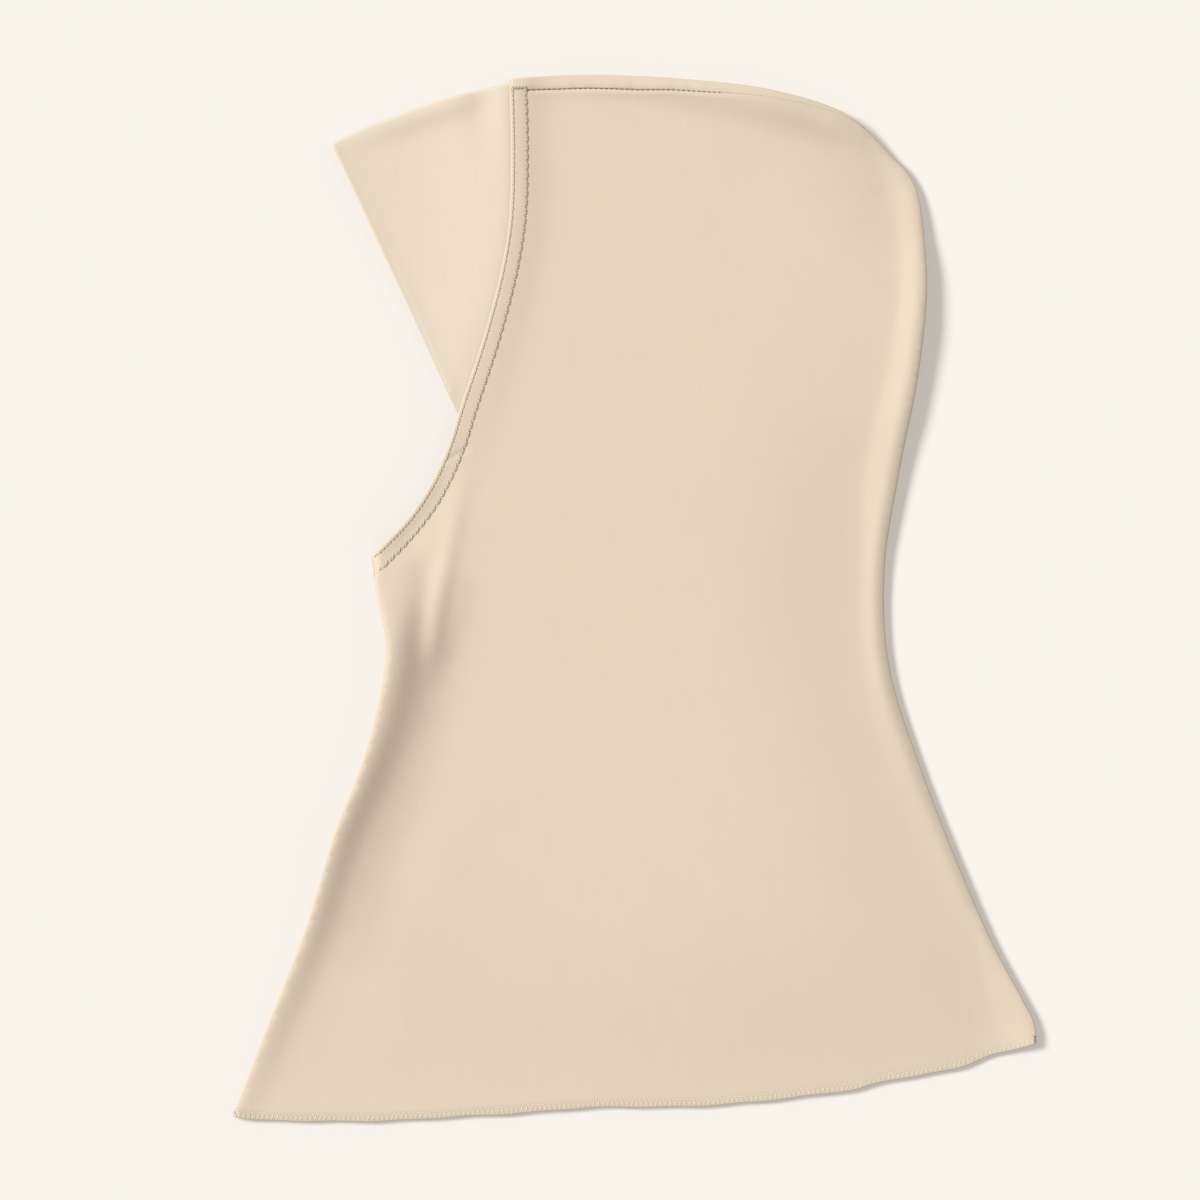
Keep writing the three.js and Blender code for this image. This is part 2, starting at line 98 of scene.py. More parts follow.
# Crown and back fold, from the face opening over the head and down the back to the hem
BACK_FOLD = (
    (-64.0, 259.6, 0.2, 12.0, 3.0, 0.3),
    (-38.0, 261.6, 0.6, 7.0, 6.5, 0.3),
    (-16.5, 262.0, 1.2, 6.0, 6.5, 0.4),
    (27.5, 259.6, 2.2, 7.5, 6.5, 0.6),
    (73.0, 253.6, 3.5, 12.0, 6.5, 0.8),
    (108.0, 241.5, 3.3, 9.5, 7.0, 0.9),
    (131.0, 219.8, 0.9, 9.0, 4.5, 0.9),
    (136.4, 214.5, 0.9, 8.7, 4.4, 0.9),
    (141.0, 207.0, 0.9, 8.4, 4.3, 0.8),
    (143.4, 198.5, 0.9, 8.2, 4.2, 0.8),
    (145.0, 187.5, 1.0, 8.0, 4.2, 0.8),
    (147.0, 155.0, 2.3, 8.5, 4.0, 0.8),
    (142.6, 111.5, 2.4, 10.0, 3.8, 0.8),
    (133.3, 63.5, 2.1, 11.5, 4.0, 0.8),
    (126.0, 16.0, 1.4, 6.5, 3.6, 0.8),
    (128.1, -32.5, 0.9, 7.0, 4.2, 0.9),
    (142.5, -80.5, 0.4, 8.0, 6.0, 1.0),
    (171.0, -152.5, 0.2, 7.0, 4.5, 0.6),
    (181.6, -175.5, 0.2, 7.0, 4.3, 0.5),
    (195.2, -200.5, 0.1, 7.0, 4.0, 0.4),
    (200.2, -210.5, 0.1, 7.0, 4.0, 0.4),
    (201.8, -218.0, 0.1, 7.0, 4.0, 0.4),
    (201.8, -222.4, 0.1, 7.0, 4.0, 0.4),
)

# Face opening from the chin up to the crown: outer and inner edge of the turned band
BAND_OUTER = (
    (-130.8, 21.5),
    (-124.5, 27.5),
    (-113.0, 39.8),
    (-102.5, 55.0),
    (-93.0, 75.0),
    (-86.0, 97.0),
    (-74.2, 133.0),
    (-65.8, 165.5),
    (-62.0, 190.0),
    (-61.0, 222.0),
    (-61.8, 259.2),
)
BAND_INNER = (
    (-128.7, 11.0),
    (-119.5, 20.2),
    (-107.2, 33.6),
    (-95.2, 50.5),
    (-85.2, 71.6),
    (-78.0, 94.0),
    (-66.0, 131.0),
    (-57.5, 164.5),
    (-53.5, 190.0),
    (-52.4, 222.0),
    (-53.2, 259.8),
)

# Hem from the front fold to the back fold: its outer edge, and how far the cloth settles there. Its back
# corner stands up a little.
HEM = (
    (-200.5, -259.0, 6.5),
    (-186.0, -260.9, 6.5),
    (-118.0, -260.9, 6.5),
    (-68.5, -258.0, 6.5),
    (-15.0, -254.5, 6.5),
    (46.0, -253.2, 6.5),
    (99.5, -247.0, 6.5),
    (112.0, -245.6, 6.5),
    (126.0, -241.6, 6.5),
    (147.5, -237.8, 6.5),
    (163.5, -234.3, 6.5),
    (178.5, -228.8, 6.5),
    (188.0, -226.6, 5.7),
    (201.8, -222.4, 2.8),
)

# Crown strip: x, and how far the far panel shows between the crown fold and the seam
CROWN_STRIP = (
    (-60.0, 6.2),
    (-38.0, 7.0),
    (3.5, 7.1),
    (18.0, 6.1),
    (40.0, 5.5),
    (61.0, 4.4),
    (90.0, 2.9),
    (114.5, 0.6),
)

# Visor: its top fold from the tip to the crown, and the foot of its straight front edge
VISOR_TOP = (
    (-151.0, 227.5),
    (-140.5, 233.0),
    (-116.5, 242.5),
    (-92.5, 250.6),
    (-74.0, 255.2),
    (-62.5, 257.6),
    (-56.5, 258.2),
)
VISOR_FOOT = (-86.2, 89.6)


class Side(Enum):
    """Which of the two layers of the folded hood a piece of cloth belongs to."""

    NEAR = 1
    FAR = -1


def smooth_step(values: Array) -> Array:
    """Cubic step from 0 to 1 over the same range."""
    clipped = np.clip(values, 0.0, 1.0)
    return clipped * clipped * (3.0 - 2.0 * clipped)


def rounded(inset: Array, radius: float = 1.0) -> Array:
    """Height, up to 1, of a rounded edge at a distance inside it."""
    left = 1.0 - np.clip(inset / radius, 0.0, 1.0)
    return np.sqrt(np.maximum(0.0, 1.0 - left**2))


def bell(offset: Array, width: float) -> Array:
    """Bell curve of height 1 over an offset."""
    return np.exp(-((offset / width) ** 2))


def unit(vectors: Array) -> Array:
    """The same vectors at length one."""
    return vectors / np.maximum(np.linalg.norm(vectors, axis=-1, keepdims=True), 1e-12)


def slopes(height: Callable[[Array], Array], flat: Array) -> Array:
    """Slope along x and y, at rows of plan points, of a height over the plan.

    Args:
        height: The height as a function of rows of plan points.
        flat: Rows of plan points.

    Returns:
        The two slopes at each point.
    """
    moves = np.eye(2) * SLOPE_STEP
    changes = [height(flat + move) - height(flat - move) for move in moves]
    return np.stack(changes, axis=1) / (2 * SLOPE_STEP)


def close_at_ends(width: float, columns: int) -> Array:
    """Distances from 0 to a width, close together at both ends."""
    return width * (1.0 - np.cos(np.linspace(0.0, math.pi, columns))) / 2


def chunks(places: Array) -> list[Array]:
    """The places in lots that are small enough to work out at once."""
    return np.array_split(places, max(1, len(places) // CHUNK))


@dataclass(frozen=True)
class Nearest:
    """Where the nearest point of a line lies from some places."""

    distance: Array
    out: Array
    share: Array
    extra: Array


@dataclass(frozen=True)
class Line:
    """A line in plan with even steps. Columns after x and y ride along."""

    points: Array

    @classmethod
    def through(cls, rows: tuple[tuple[float, ...], ...], step: float = 2.0) -> "Line":
        """Centripetal curve through the rows of a table.

        Args:
            rows: Points, each x, y and any further columns.
            step: Length of a step of the line.

        Returns:
            The line.
        """
        table = np.array(rows, float)
        padded = np.vstack([2 * table[0] - table[1], table, 2 * table[-1] - table[-2]])
        t = np.linspace(0.0, 1.0, SPAN_POINTS, endpoint=False)[:, None]
        ease = 3 * t**2 - 2 * t**3
        spans = []
        for p0, p1, p2, p3 in zip(padded, padded[1:], padded[2:], padded[3:]):
            a, b, c = (math.sqrt(math.dist(p[:2], q[:2])) for p, q in ((p0, p1), (p1, p2), (p2, p3)))
            m1 = ((p1 - p0) / a - (p2 - p0) / (a + b) + (p2 - p1) / b) * b
            m2 = ((p2 - p1) / b - (p3 - p1) / (b + c) + (p3 - p2) / c) * b
            spans.append((1 - ease) * p1 + ease * p2 + (t**3 - 2 * t**2 + t) * m1 + (t**3 - t**2) * m2)
        return cls(np.vstack([*spans, table[-1:]])).stepped(step)

    def stepped(self, step: float) -> "Line":
        """The same line cut into even steps."""
        count = max(2, math.ceil(self.length() / step))
        return Line(self.at(np.linspace(0.0, 1.0, count + 1)))

    def reach(self) -> Array:
        """Length from the start to each point."""
        steps = np.linalg.norm(np.diff(self.points[:, :2], axis=0), axis=1)
        return np.concatenate([[0.0], np.cumsum(steps)])

    def length(self) -> float:
        """Length of the whole line."""
        return float(self.reach()[-1])

    def at(self, shares: Array) -> Array:
        """Points at shares of the length.

        Args:
            shares: Shares from 0 to 1, of any shape.

        Returns:
            The points, with their columns last.
        """
        reach = self.reach()
        along = np.asarray(shares) * reach[-1]
        return np.stack([np.interp(along, reach, column) for column in self.points.T], axis=-1)

    def beside(self, shares: Array, offset: float | Array) -> Array:
        """Points beside the line, to its right.

        Args:
            shares: Shares of the length.
            offset: Distance to the right of the line.

        Returns:
            Plan points.
        """
        nudge = TANGENT_REACH / self.length()
        shares = np.asarray(shares, float)
        low, high = np.clip(shares - nudge, 0, 1), np.clip(shares + nudge, 0, 1)
        tangent = unit(self.at(high)[..., :2] - self.at(low)[..., :2])
        right = np.stack([tangent[..., 1], -tangent[..., 0]], axis=-1)
        return self.at(shares)[..., :2] + right * np.asarray(offset)[..., None]

    def nearest(self, places: Array) -> Nearest:
        """Nearest point of the line to each place.

        Args:
            places: Rows of plan points.

        Returns:
            Their distances, positive to the right of the line, the way out to its left, the shares of
            the length and the further columns at the nearest points.
        """
        start, end = self.points[:-1], self.points[1:]
        run = (end - start)[:, :2]
        length = np.linalg.norm(run, axis=1)
        found = []
        for some in chunks(places):
            off = some[:, None, :] - start[:, :2]
            t = np.clip((off * run).sum(2) / length**2, 0.0, 1.0)
            gap = off - t[..., None] * run
            best = np.einsum("ijk,ijk->ij", gap, gap).argmin(1)
            row = np.arange(len(some))
            found.append((best, t[row, best], gap[row, best]))
        best, t, gap = (np.concatenate(part) for part in zip(*found))
        distance = np.linalg.norm(gap, axis=1)
        way = run[best] / length[best, None]
        right = np.stack([way[:, 1], -way[:, 0]], axis=1)
        side = np.where((gap * right).sum(1) < -1e-9, -1.0, 1.0)
        past = (distance > 1e-6) & ((t == 0.0) | (t == 1.0))
        out = np.where(past[:, None], -gap * (side / np.maximum(distance, 1e-9))[:, None], -right)
        extra = start[best, 2:] + (end - start)[best, 2:] * t[:, None]
        return Nearest(side * distance, out, (best + t) / len(run), extra)

    def share_near(self, x: float, y: float) -> float:
        """Share of the length nearest a place."""
        return float(self.nearest(np.array([[x, y]])).share[0])


@dataclass(frozen=True)
class Crease:
    """A fold or dent of the upper layer: points with the rise there, and its half width."""

    line: tuple[tuple[float, float, float], ...]
    width: float

    def height(self, places: Array) -> Array:
        """Rise of the cloth at the places."""
        near = Line.through(self.line, 3.0).nearest(places)
        return near.extra[:, 0] * bell(near.distance, self.width)


# Folds, dents and swellings of the upper layer. The third column is the rise of the cloth.
CREASES = (
    # Valley of the neck
    Crease(
        (
            (-95, -25, -1.2),
            (-98, -50, -2.4),
            (-108, -86, -2.8),
            (-122, -122, -2.6),
            (-138, -170, -1.6),
            (-158, -215, -0.6),
        ),
        26.0,
    ),
    # Bulge under the chin
    Crease(((-114, 14, 0.8), (-112, 0, 1.2), (-113, -14, 1.6), (-111, -30, 0.8)), 8.0),
    # Pleat beside the chin
    Crease(
        (
            (-86, 58, 0.4),
            (-88, 46, 0.7),
            (-92.5, 21, 1.3),
            (-98, -4, 2.0),
            (-100, -20, 1.8),
            (-102, -33, 0.4),
        ),
        5.4,
    ),
    # Dent behind the crown
    Crease(((92, 244, -0.4), (110, 236, -1.2), (121, 224, -1.3), (128, 208, -0.5)), 8.0),
    # Rise to the band, which springs up from the visor
    Crease(((-57, 266, 1.9), (-57, 190, 1.9), (-68, 132, 1.4), (-86, 72, 0.5)), 10.0),
    # Groove beside the chin
    Crease(((-112, 32, -0.9), (-102, 44, -0.7), (-90, 64, -0.2)), 7.0),
    # Swell of the front
    Crease(((-124, -20, 0.8), (-127, -50, 1.6), (-135, -80, 1.8), (-158, -145, 1.4)), 42.0),
    # Kink across the band
    Crease(((-94, 68.5, -0.35), (-84, 74.5, -0.35)), 1.5),
)

# Painted shade on the upper layer: its colour is darkened along these lines, in the hollows between its folds
# and along the edges of its folds. The third column says how much.
PAINTED_SHADES = (
    # Flank of the front
    Crease(
        (
            (-104, -16, 0.15),
            (-106, -52, 0.45),
            (-111, -76, 0.33),
            (-117, -100, 0.36),
            (-127, -126, 0.4),
            (-140, -176, 0.16),
        ),
        12.0,
    ),
    # Under the chin
    Crease(((-117, -8, 0.2), (-114, -26, 0.5), (-112, -42, 0.2)), 8.0),
    # Beside the pleat
    Crease(((-83, 6, 0.3), (-87, -10, 0.4), (-92, -26, 0.5), (-98, -40, 0.3)), 6.0),
    # Inside the front
    Crease(((-84, -25, 0.1), (-88, -75, 0.14), (-92, -125, 0.14), (-112, -176, 0.14)), 22.0),
    # Edge of the nape
    Crease(
        (
            (146, 190, 0.1),
            (144.5, 155, 0.25),
            (139.8, 112, 0.45),
            (130.5, 64, 0.65),
            (123.1, 16, 0.68),
            (125.2, -32, 0.65),
            (139.5, -80, 0.45),
            (168.3, -152, 0.25),
        ),
        2.7,
    ),
    # Behind the crown
    Crease(((10, 252, 0.1), (58, 244, 0.28), (80, 239, 0.3), (100, 230, 0.3), (112, 220, 0.1)), 7.5),
)


# Where the whole fold settles on the floor: the upper layer sinks by the third column, the fold line by
# half of it
SAGS = (
    # Shoulder
    Crease(HEM, 60.0),
    # Nape and back
    Crease(
        (
            (137, 92, 2.4),
            (134, 70, 4.0),
            (126, 40, 4.8),
            (124, 0, 5.9),
            (132, -50, 5.5),
            (160, -130, 4.7),
            (182, -178, 4.4),
            (192, -198, 3.8),
        ),
        45.0,
    ),
    # Back of the crown
    Crease(((104, 245, 2.6), (127, 225, 4.4), (140, 209, 5.4), (144, 192, 4.2), (147, 165, 1.8)), 30.0),
)


@dataclass(frozen=True)
class Layer:
    """One layer of cloth: its side, the height of its fold line and of its flat stretch, and its roll."""

    side: Side
    level: float
    height: float
    thickness: float
    relief: bool = False
    roll: float = FAR_ROLL


UPPER_LAYER = Layer(Side.NEAR, FOLD_LEVEL, NEAR_LEVEL, JERSEY, True, ROLL)
LOWER_LAYER = Layer(Side.FAR, FOLD_LEVEL, FAR_LEVEL, JERSEY)


@dataclass(frozen=True)
class Wall:
    """Middle of a wall of cloth, the way out of it, and its flat pattern, all of one shape."""

    middle: Array
    normal: Array
    pattern: Array

    @classmethod
    def over(cls, places: Array, middle: Array, normal: Array, pattern: Array) -> "Wall":
        """Wall over plan points, in their shape.

        Args:
            places: Plan points of any shape, x and y last.
            middle: Rows of the middle, one to a place.
            normal: Rows of the way out, of any length.
            pattern: Rows of the flat pattern.

        Returns:
            The wall.
        """
        shape = (*places.shape[:-1], 3)
        return cls(middle.reshape(shape), unit(normal).reshape(shape), pattern.reshape(shape))

    def joined(self, other: "Wall") -> "Wall":
        """This wall and another one after it.

        Args:
            other: A wall with rows as long.

        Returns:
            One wall with the rows of both.
        """
        return Wall(
            np.concatenate([self.middle, other.middle]),
            np.concatenate([self.normal, other.normal]),
            np.concatenate([self.pattern, other.pattern]),
        )

    def off(self, lift: Array | float) -> Array:
        """Points off the middle along the normal."""
        return self.middle + self.normal * np.asarray(lift)[..., None]


class HoodShape:
    """The resting shape of the folded hood, which every piece of cloth follows."""

    def __init__(self) -> None:
        """Reads the tables."""
        self.front = Line.through(FRONT_FOLD)
        self.back = Line.through(BACK_FOLD)
        self.band_outer = Line.through(BAND_OUTER, 1.0)
        self.band_inner = Line.through(BAND_INNER, 1.0)
        self.hem = Line.through(HEM, 1.0)

    def fold(self, places: Array) -> Nearest:
        """Nearest point of either fold.

        Args:
            places: Rows of plan points.

        Returns:
            The nearest point of the nearer fold.
        """
        front, back = self.front.nearest(places), self.back.nearest(places)
        nearer = np.abs(front.distance) <= np.abs(back.distance)
        return Nearest(
            np.where(nearer, front.distance, back.distance),
            np.where(nearer[:, None], front.out, back.out),
            np.where(nearer, front.share, back.share),
            np.where(nearer[:, None], front.extra, back.extra),
        )

    def sag(self, places: Array) -> Array:
        """How far the upper layer sinks where the hood settles on the floor."""
        return np.sqrt(sum(sag.height(places) ** 2 for sag in SAGS))

    def relief(self, places: Array) -> Array:
        """Height of the ridges and creases of the upper layer, less its sag.

        Args:
            places: Rows of plan points.

        Returns:
            The height at each.
        """
        near = self.fold(places)
        ridge, width, crest, drop = near.extra.T
        away = np.maximum(0.0, near.distance - crest) / width
        bend = 1.0 - away**2 / (2 * CREST_ROUND)
        ramp = np.where(away < CREST_ROUND, bend, 1.0 + CREST_ROUND / 2 - away)
        foot = (ramp + np.sqrt(ramp * ramp + FOOT_SOFTNESS)) / 2
        front = self.front.nearest(places).distance < self.back.nearest(places).distance
        rise = ridge * np.where(front, bell(away, 1.0), foot)
        rise = rise - drop * np.clip(1.0 - near.distance / crest, 0.0, 1.0) ** 2
        return rise - self.sag(places) + sum(crease.height(places) for crease in CREASES)

    def lay(self, layer: Layer, places: Array) -> Wall:
        """Lays plan points on a layer.

        Args:
            layer: The layer of cloth.
            places: Plan points of any shape, x and y last.

        Returns:
            The wall at those points, in the same shape.
        """
        flat = places.reshape(-1, 2)
        near = self.fold(flat)
        inset = layer.thickness / 2
        short = np.maximum(0.0, inset - near.distance)
        flat = flat - near.out * short[:, None]
        turn = np.clip((near.distance + short - inset) / layer.roll, 0.0, 1.0)
        swell = rounded(turn)
        level = layer.level - self.sag(flat) / 2
        rise = layer.height - level
        tilt = np.zeros((len(flat), 2))
        if layer.relief:
            rise = rise + self.relief(flat)
            tilt = slopes(self.relief, flat) * swell[:, None] ** 2
        up = layer.side.value
        over = np.abs(rise) * (1.0 - turn) / layer.roll
        normal = np.column_stack([over[:, None] * near.out - up * tilt, up * swell])
        middle = np.column_stack([flat, level + rise * swell])
        angle = np.arccos(1.0 - turn)
        slack = (layer.roll + np.abs(rise)) / 2 * (math.pi / 2 - angle) - layer.roll * (1.0 - turn)
        pattern = np.column_stack([flat + near.out * slack[:, None], np.full(len(flat), up * 1.0)])
        return Wall.over(places, middle, normal, pattern)


class Value:
    """A number socket of a shader, with Python's own operators for Math nodes."""

    def __init__(self, book: "Shader", socket: bpy.types.NodeSocket) -> None:
        """Keeps the socket and the shader that it belongs to."""
        self.book = book
        self.socket = socket

    def maths(self, operation: str, *others: "Value | float") -> "Value":
        """This value and others through one Math node."""
        inputs = dict(enumerate((self, *others)))
        return Value(self.book, self.book.node("ShaderNodeMath", {"operation": operation}, inputs).outputs[0])

    def __add__(self, other: "Value | float") -> "Value":
        """Sum."""
        return self.maths("ADD", other)

    def __sub__(self, other: "Value | float") -> "Value":
        """Difference."""
        return self.maths("SUBTRACT", other)

    def __mul__(self, other: "Value | float") -> "Value":
        """Product."""
        return self.maths("MULTIPLY", other)

    def __pow__(self, other: "Value | float") -> "Value":
        """Power."""
        return self.maths("POWER", other)

    def __rsub__(self, other: float) -> "Value":
        """Difference from a number."""
        return (self * -1.0) + other

    __radd__ = __add__
    __rmul__ = __mul__

    def sine(self) -> "Value":
        """Sine."""
        return self.maths("SINE")

    def fraction(self) -> "Value":
        """What is left after the whole number."""
        return self.maths("FRACT")

    def size(self) -> "Value":
        """Absolute value."""
        return self.maths("ABSOLUTE")


class Shader:
    """A material in the making."""

    def __init__(self, name: str) -> None:
        """Makes a node tree with one Principled shader."""
        self.material = bpy.data.materials.new(name)
        self.material.use_nodes = True
        self.tree = self.material.node_tree
        self.tree.nodes.clear()
        self.surface = self.node("ShaderNodeBsdfPrincipled")
        self.node("ShaderNodeOutputMaterial", None, {"Surface": self.surface.outputs["BSDF"]})

    def node(
        self,
        kind: str,
        settings: dict[str, object] | None = None,
        inputs: dict[str | int, object] | None = None,
    ) -> bpy.types.Node:
        """Adds a node.

        Args:
            kind: Type of the node.
            settings: Its properties, set first.
            inputs: Values or links of its sockets, by name or number.

        Returns:
            The node.
        """
        made = self.tree.nodes.new(kind)
        for key, value in (settings or {}).items():
            setattr(made, key, value)
        self.feed(made, inputs or {})
        return made

    def feed(self, node: bpy.types.Node, inputs: dict[str | int, object]) -> None:
        """Sets or links the sockets of a node.

        Args:
            node: The node.
            inputs: Values or links of its sockets, by name or number.
        """
        for key, value in inputs.items():
            if isinstance(value, Value):
                self.tree.links.new(value.socket, node.inputs[key])
            elif isinstance(value, bpy.types.NodeSocket):
                self.tree.links.new(value, node.inputs[key])
            else:
                node.inputs[key].default_value = value

    def value(self, socket: bpy.types.NodeSocket) -> Value:
        """Wraps a number socket."""
        return Value(self, socket)

    def stored(self, name: str, output: str) -> bpy.types.NodeSocket:
        """An output of an attribute stored in the mesh."""
        return self.node("ShaderNodeAttribute", {"attribute_name": name}).outputs[output]

    def blend(self, factor: Value, low: tuple[float, ...], high: tuple[float, ...]) -> bpy.types.NodeSocket:
        """Colour between two colours by a factor."""
        mix = self.node("ShaderNodeMix", {"data_type": "RGBA"}, {0: factor, 6: low, 7: high})
        return mix.outputs[2]

    def noise(self, where: bpy.types.NodeSocket, scale: float, detail: float = 2.0) -> Value:
        """Noise of a scale over coordinates."""
        inputs = {"Vector": where, "Scale": scale, "Detail": detail}
        return self.value(self.node("ShaderNodeTexNoise", None, inputs).outputs["Fac"])

    def bump(self, height: Value, depth: float) -> bpy.types.NodeSocket:
        """Normal of a height whose whole step is so many millimetres deep."""
        inputs = {"Strength": 1.0, "Distance": depth * MM, "Height": height}
        return self.node("ShaderNodeBump", None, inputs).outputs[0]


def rgba(colour: tuple[float, float, float], factor: float = 1.0) -> tuple[float, float, float, float]:
    """Linear colour, made lighter or darker, with full alpha."""
    return (colour[0] * factor, colour[1] * factor, colour[2] * factor, 1.0)


@dataclass(frozen=True)
class JerseyFinish:
    """Cotton jersey: columns of knitted loops along +Y, faint streaks and blotches, and painted shade.

    Sizes are millimetres, and the coordinates are the cloth's own flat pattern.
    """

    name: str
    colour: tuple[float, float, float]
    wale: float = 0.8
    shaded: float = 0.0
    shoulder_slope: tuple[float, float] = (0.0055, 0.0045)
    shoulder_start: float = 0.7
    course: float = 0.62
    wobble: float = 0.7
    wobble_scale: float = 0.09
    loop_slant: float = 2.4
    loop_depth: float = 0.022
    loop_shade: float = 0.006
    fluff: float = 0.35
    fluff_scale: float = 2.6
    streak: float = 0.05
    streak_scale: tuple[float, float, float] = (0.9, 0.045, 1.0)
    blotch: float = 0.03
    blotch_scale: float = 0.035
    contrast: float = 0.25
    roughness: float = 0.92
    sheen: float = 0.12

    def loops(self, across: Value, along: Value) -> Value:
        """Height of the knitted loops.

        Args:
            across: Place across the columns of loops.
            along: Place along them.

        Returns:
            The height, from 0 to 1.
        """
        column = ((across * (1.0 / self.wale)).fraction() - 0.5).size() * 2.0
        slant = along * (2 * math.pi / self.course) + column * self.loop_slant
        return (1.0 - column) ** 0.7 * (slant.sine() * 0.3 + 0.7)

    def material(self) -> bpy.types.Material:
        """Builds the material.

        Returns:
            The material.
        """
        shader = Shader(self.name)
        pattern = shader.stored("pattern", "Vector")
        wobble = shader.noise(pattern, self.wobble_scale, 1.0)
        parts = shader.node("ShaderNodeSeparateXYZ", None, {0: pattern})
        across = shader.value(parts.outputs[0]) + wobble * self.wobble
        along = shader.value(parts.outputs[1])
        loops = self.loops(across, along)
        inputs = {"Vector": pattern, "Scale": self.streak_scale}
        thin = shader.node("ShaderNodeMapping", {"vector_type": "POINT"}, inputs)
        streaks = shader.noise(thin.outputs[0], 1.0, 3.0)
        blotches = shader.noise(pattern, self.blotch_scale, 3.0)
        shade = (streaks - 0.5) * self.streak + (blotches - 0.5) * self.blotch
        shade = shade + (loops - 0.5) * self.loop_shade
        # Painted shade: the colour darkens towards the hem and the back of the shoulder, by the shaded share
        back, down = self.shoulder_slope
        toward_hem = across * back - along * down - self.shoulder_start
        shoulder = toward_hem.maths("MAXIMUM", 0.0).maths("MINIMUM", 1.0)
        # Painted shade stored in the mesh darkens the colour in hollows and along fold edges
        painted_shade = shader.value(shader.stored("painted_shade", "Fac"))
        tone = shade * (0.5 / self.contrast) - (shoulder * self.shaded + painted_shade) * 0.5 + 0.5
        low, high = rgba(self.colour, 1.0 - self.contrast), rgba(self.colour, 1.0 + self.contrast)
        height = loops + shader.noise(pattern, self.fluff_scale) * self.fluff
        dress = {
            "Base Color": shader.blend(tone, low, high),
            "Normal": shader.bump(height, self.loop_depth),
            "Roughness": self.roughness,
            "Specular IOR Level": 0.15,
            "Sheen Weight": self.sheen,
            "Sheen Roughness": 0.6,
        }
        shader.feed(shader.surface, dress)
        return shader.material


@dataclass(frozen=True)
class ThreadFinish:
    """Spun sewing thread with fine fibres."""

    name: str
    colour: tuple[float, float, float]
    roughness: float = 0.7
    fibre_scale: float = 2600.0
    fibre_depth: float = 0.04
    tones: tuple[float, float] = (0.78, 1.2)

    def material(self) -> bpy.types.Material:
        """Builds the material.

        Returns:
            The material.
        """
        shader = Shader(self.name)
        fibres = shader.noise(shader.node("ShaderNodeTexCoord").outputs["Object"], self.fibre_scale)
        dark, light = (rgba(self.colour, tone) for tone in self.tones)
        dress = {
            "Base Color": shader.blend(fibres, dark, light),
            "Normal": shader.bump(fibres, self.fibre_depth),
            "Roughness": self.roughness,
            "Specular IOR Level": 0.2,
        }
        shader.feed(shader.surface, dress)
        return shader.material


@dataclass(frozen=True)
class PaperFinish:
    """Pale paper under the hood, lit a little from below as on a light table."""

    name: str
    colour: tuple[float, float, float]
    glow: float
    glow_colour: tuple[float, float, float] = (0.985, 0.965, 0.925)

    def material(self) -> bpy.types.Material:
        """Builds the material.

        Returns:
            The material.
        """
        shader = Shader(self.name)
        dress = {
            "Base Color": rgba(self.colour),
            "Roughness": 1.0,
            "Specular IOR Level": 0.0,
            "Emission Color": rgba(self.glow_colour),
            "Emission Strength": self.glow,
        }
        shader.feed(shader.surface, dress)
        return shader.material


BODY_JERSEY = JerseyFinish("jersey", (0.785, 0.652, 0.506), shaded=0.17)
VISOR_JERSEY = JerseyFinish("visor_jersey", (0.82, 0.70, 0.553))
BAND_JERSEY = JerseyFinish("band_jersey", (0.765, 0.64, 0.498), wale=0.75)
HEM_JERSEY = JerseyFinish("hem_jersey", (0.74, 0.62, 0.47))
CREAM_THREAD = ThreadFinish("cream_thread", (0.84, 0.71, 0.55))
HEM_THREAD = ThreadFinish("hem_thread", (0.92, 0.81, 0.66))
# Thread of the crown seam, its colour darkened as painted shade in the seam's ditch
SHADED_SEAM_THREAD = ThreadFinish("shaded_seam_thread", (0.36, 0.25, 0.16))
# Dark dashes of painted shade for the needle holes of the cover stitch
NEEDLE_HOLE_SHADE = ThreadFinish("needle_hole_shade", (0.52, 0.41, 0.30))
PAPER = PaperFinish("paper", (0.67, 0.648, 0.595), 0.27)


def mesh_object(
    name: str,
    points: Array,
    faces: list[tuple[int, ...]],
    material: bpy.types.Material,
    pattern: Array | None = None,
    painted_shade: Array | None = None,
) -> Piece:
    """Makes a smooth mesh object.

    Args:
        name: Name of the piece.
        points: Vertices in millimetres.
        faces: Corners of each face.
        material: Its material.
        pattern: Flat pattern coordinates of the vertices, for the knit.
        painted_shade: How much painted shade darkens the colour at the vertices.

    Returns:
        The object, linked to the scene.
    """
    mesh = bpy.data.meshes.new(name)
    mesh.from_pydata((points * MM).tolist(), [], faces)
    mesh.polygons.foreach_set("use_smooth", np.ones(len(mesh.polygons), bool))
    if pattern is not None:
        store = mesh.attributes.new("pattern", "FLOAT_VECTOR", "POINT")
        store.data.foreach_set("vector", pattern.astype(np.float32).ravel())
    # Painted shade per vertex, which the material turns into darker colour
    if painted_shade is not None:
        store = mesh.attributes.new("painted_shade", "FLOAT", "POINT")
        store.data.foreach_set("value", painted_shade.astype(np.float32))
    mesh.materials.append(material)
    mesh.update()
    piece = bpy.data.objects.new(name, mesh)
    bpy.context.scene.collection.objects.link(piece)
    return piece


def place(pieces: list[Piece]) -> None:
    """Rides pieces on the part's one body, and logs them.

    Args:
        pieces: The pieces.
    """
    for piece in pieces:
        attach(piece, "root")
        LOG.info("%s: %d faces", piece.name, len(piece.data.polygons))


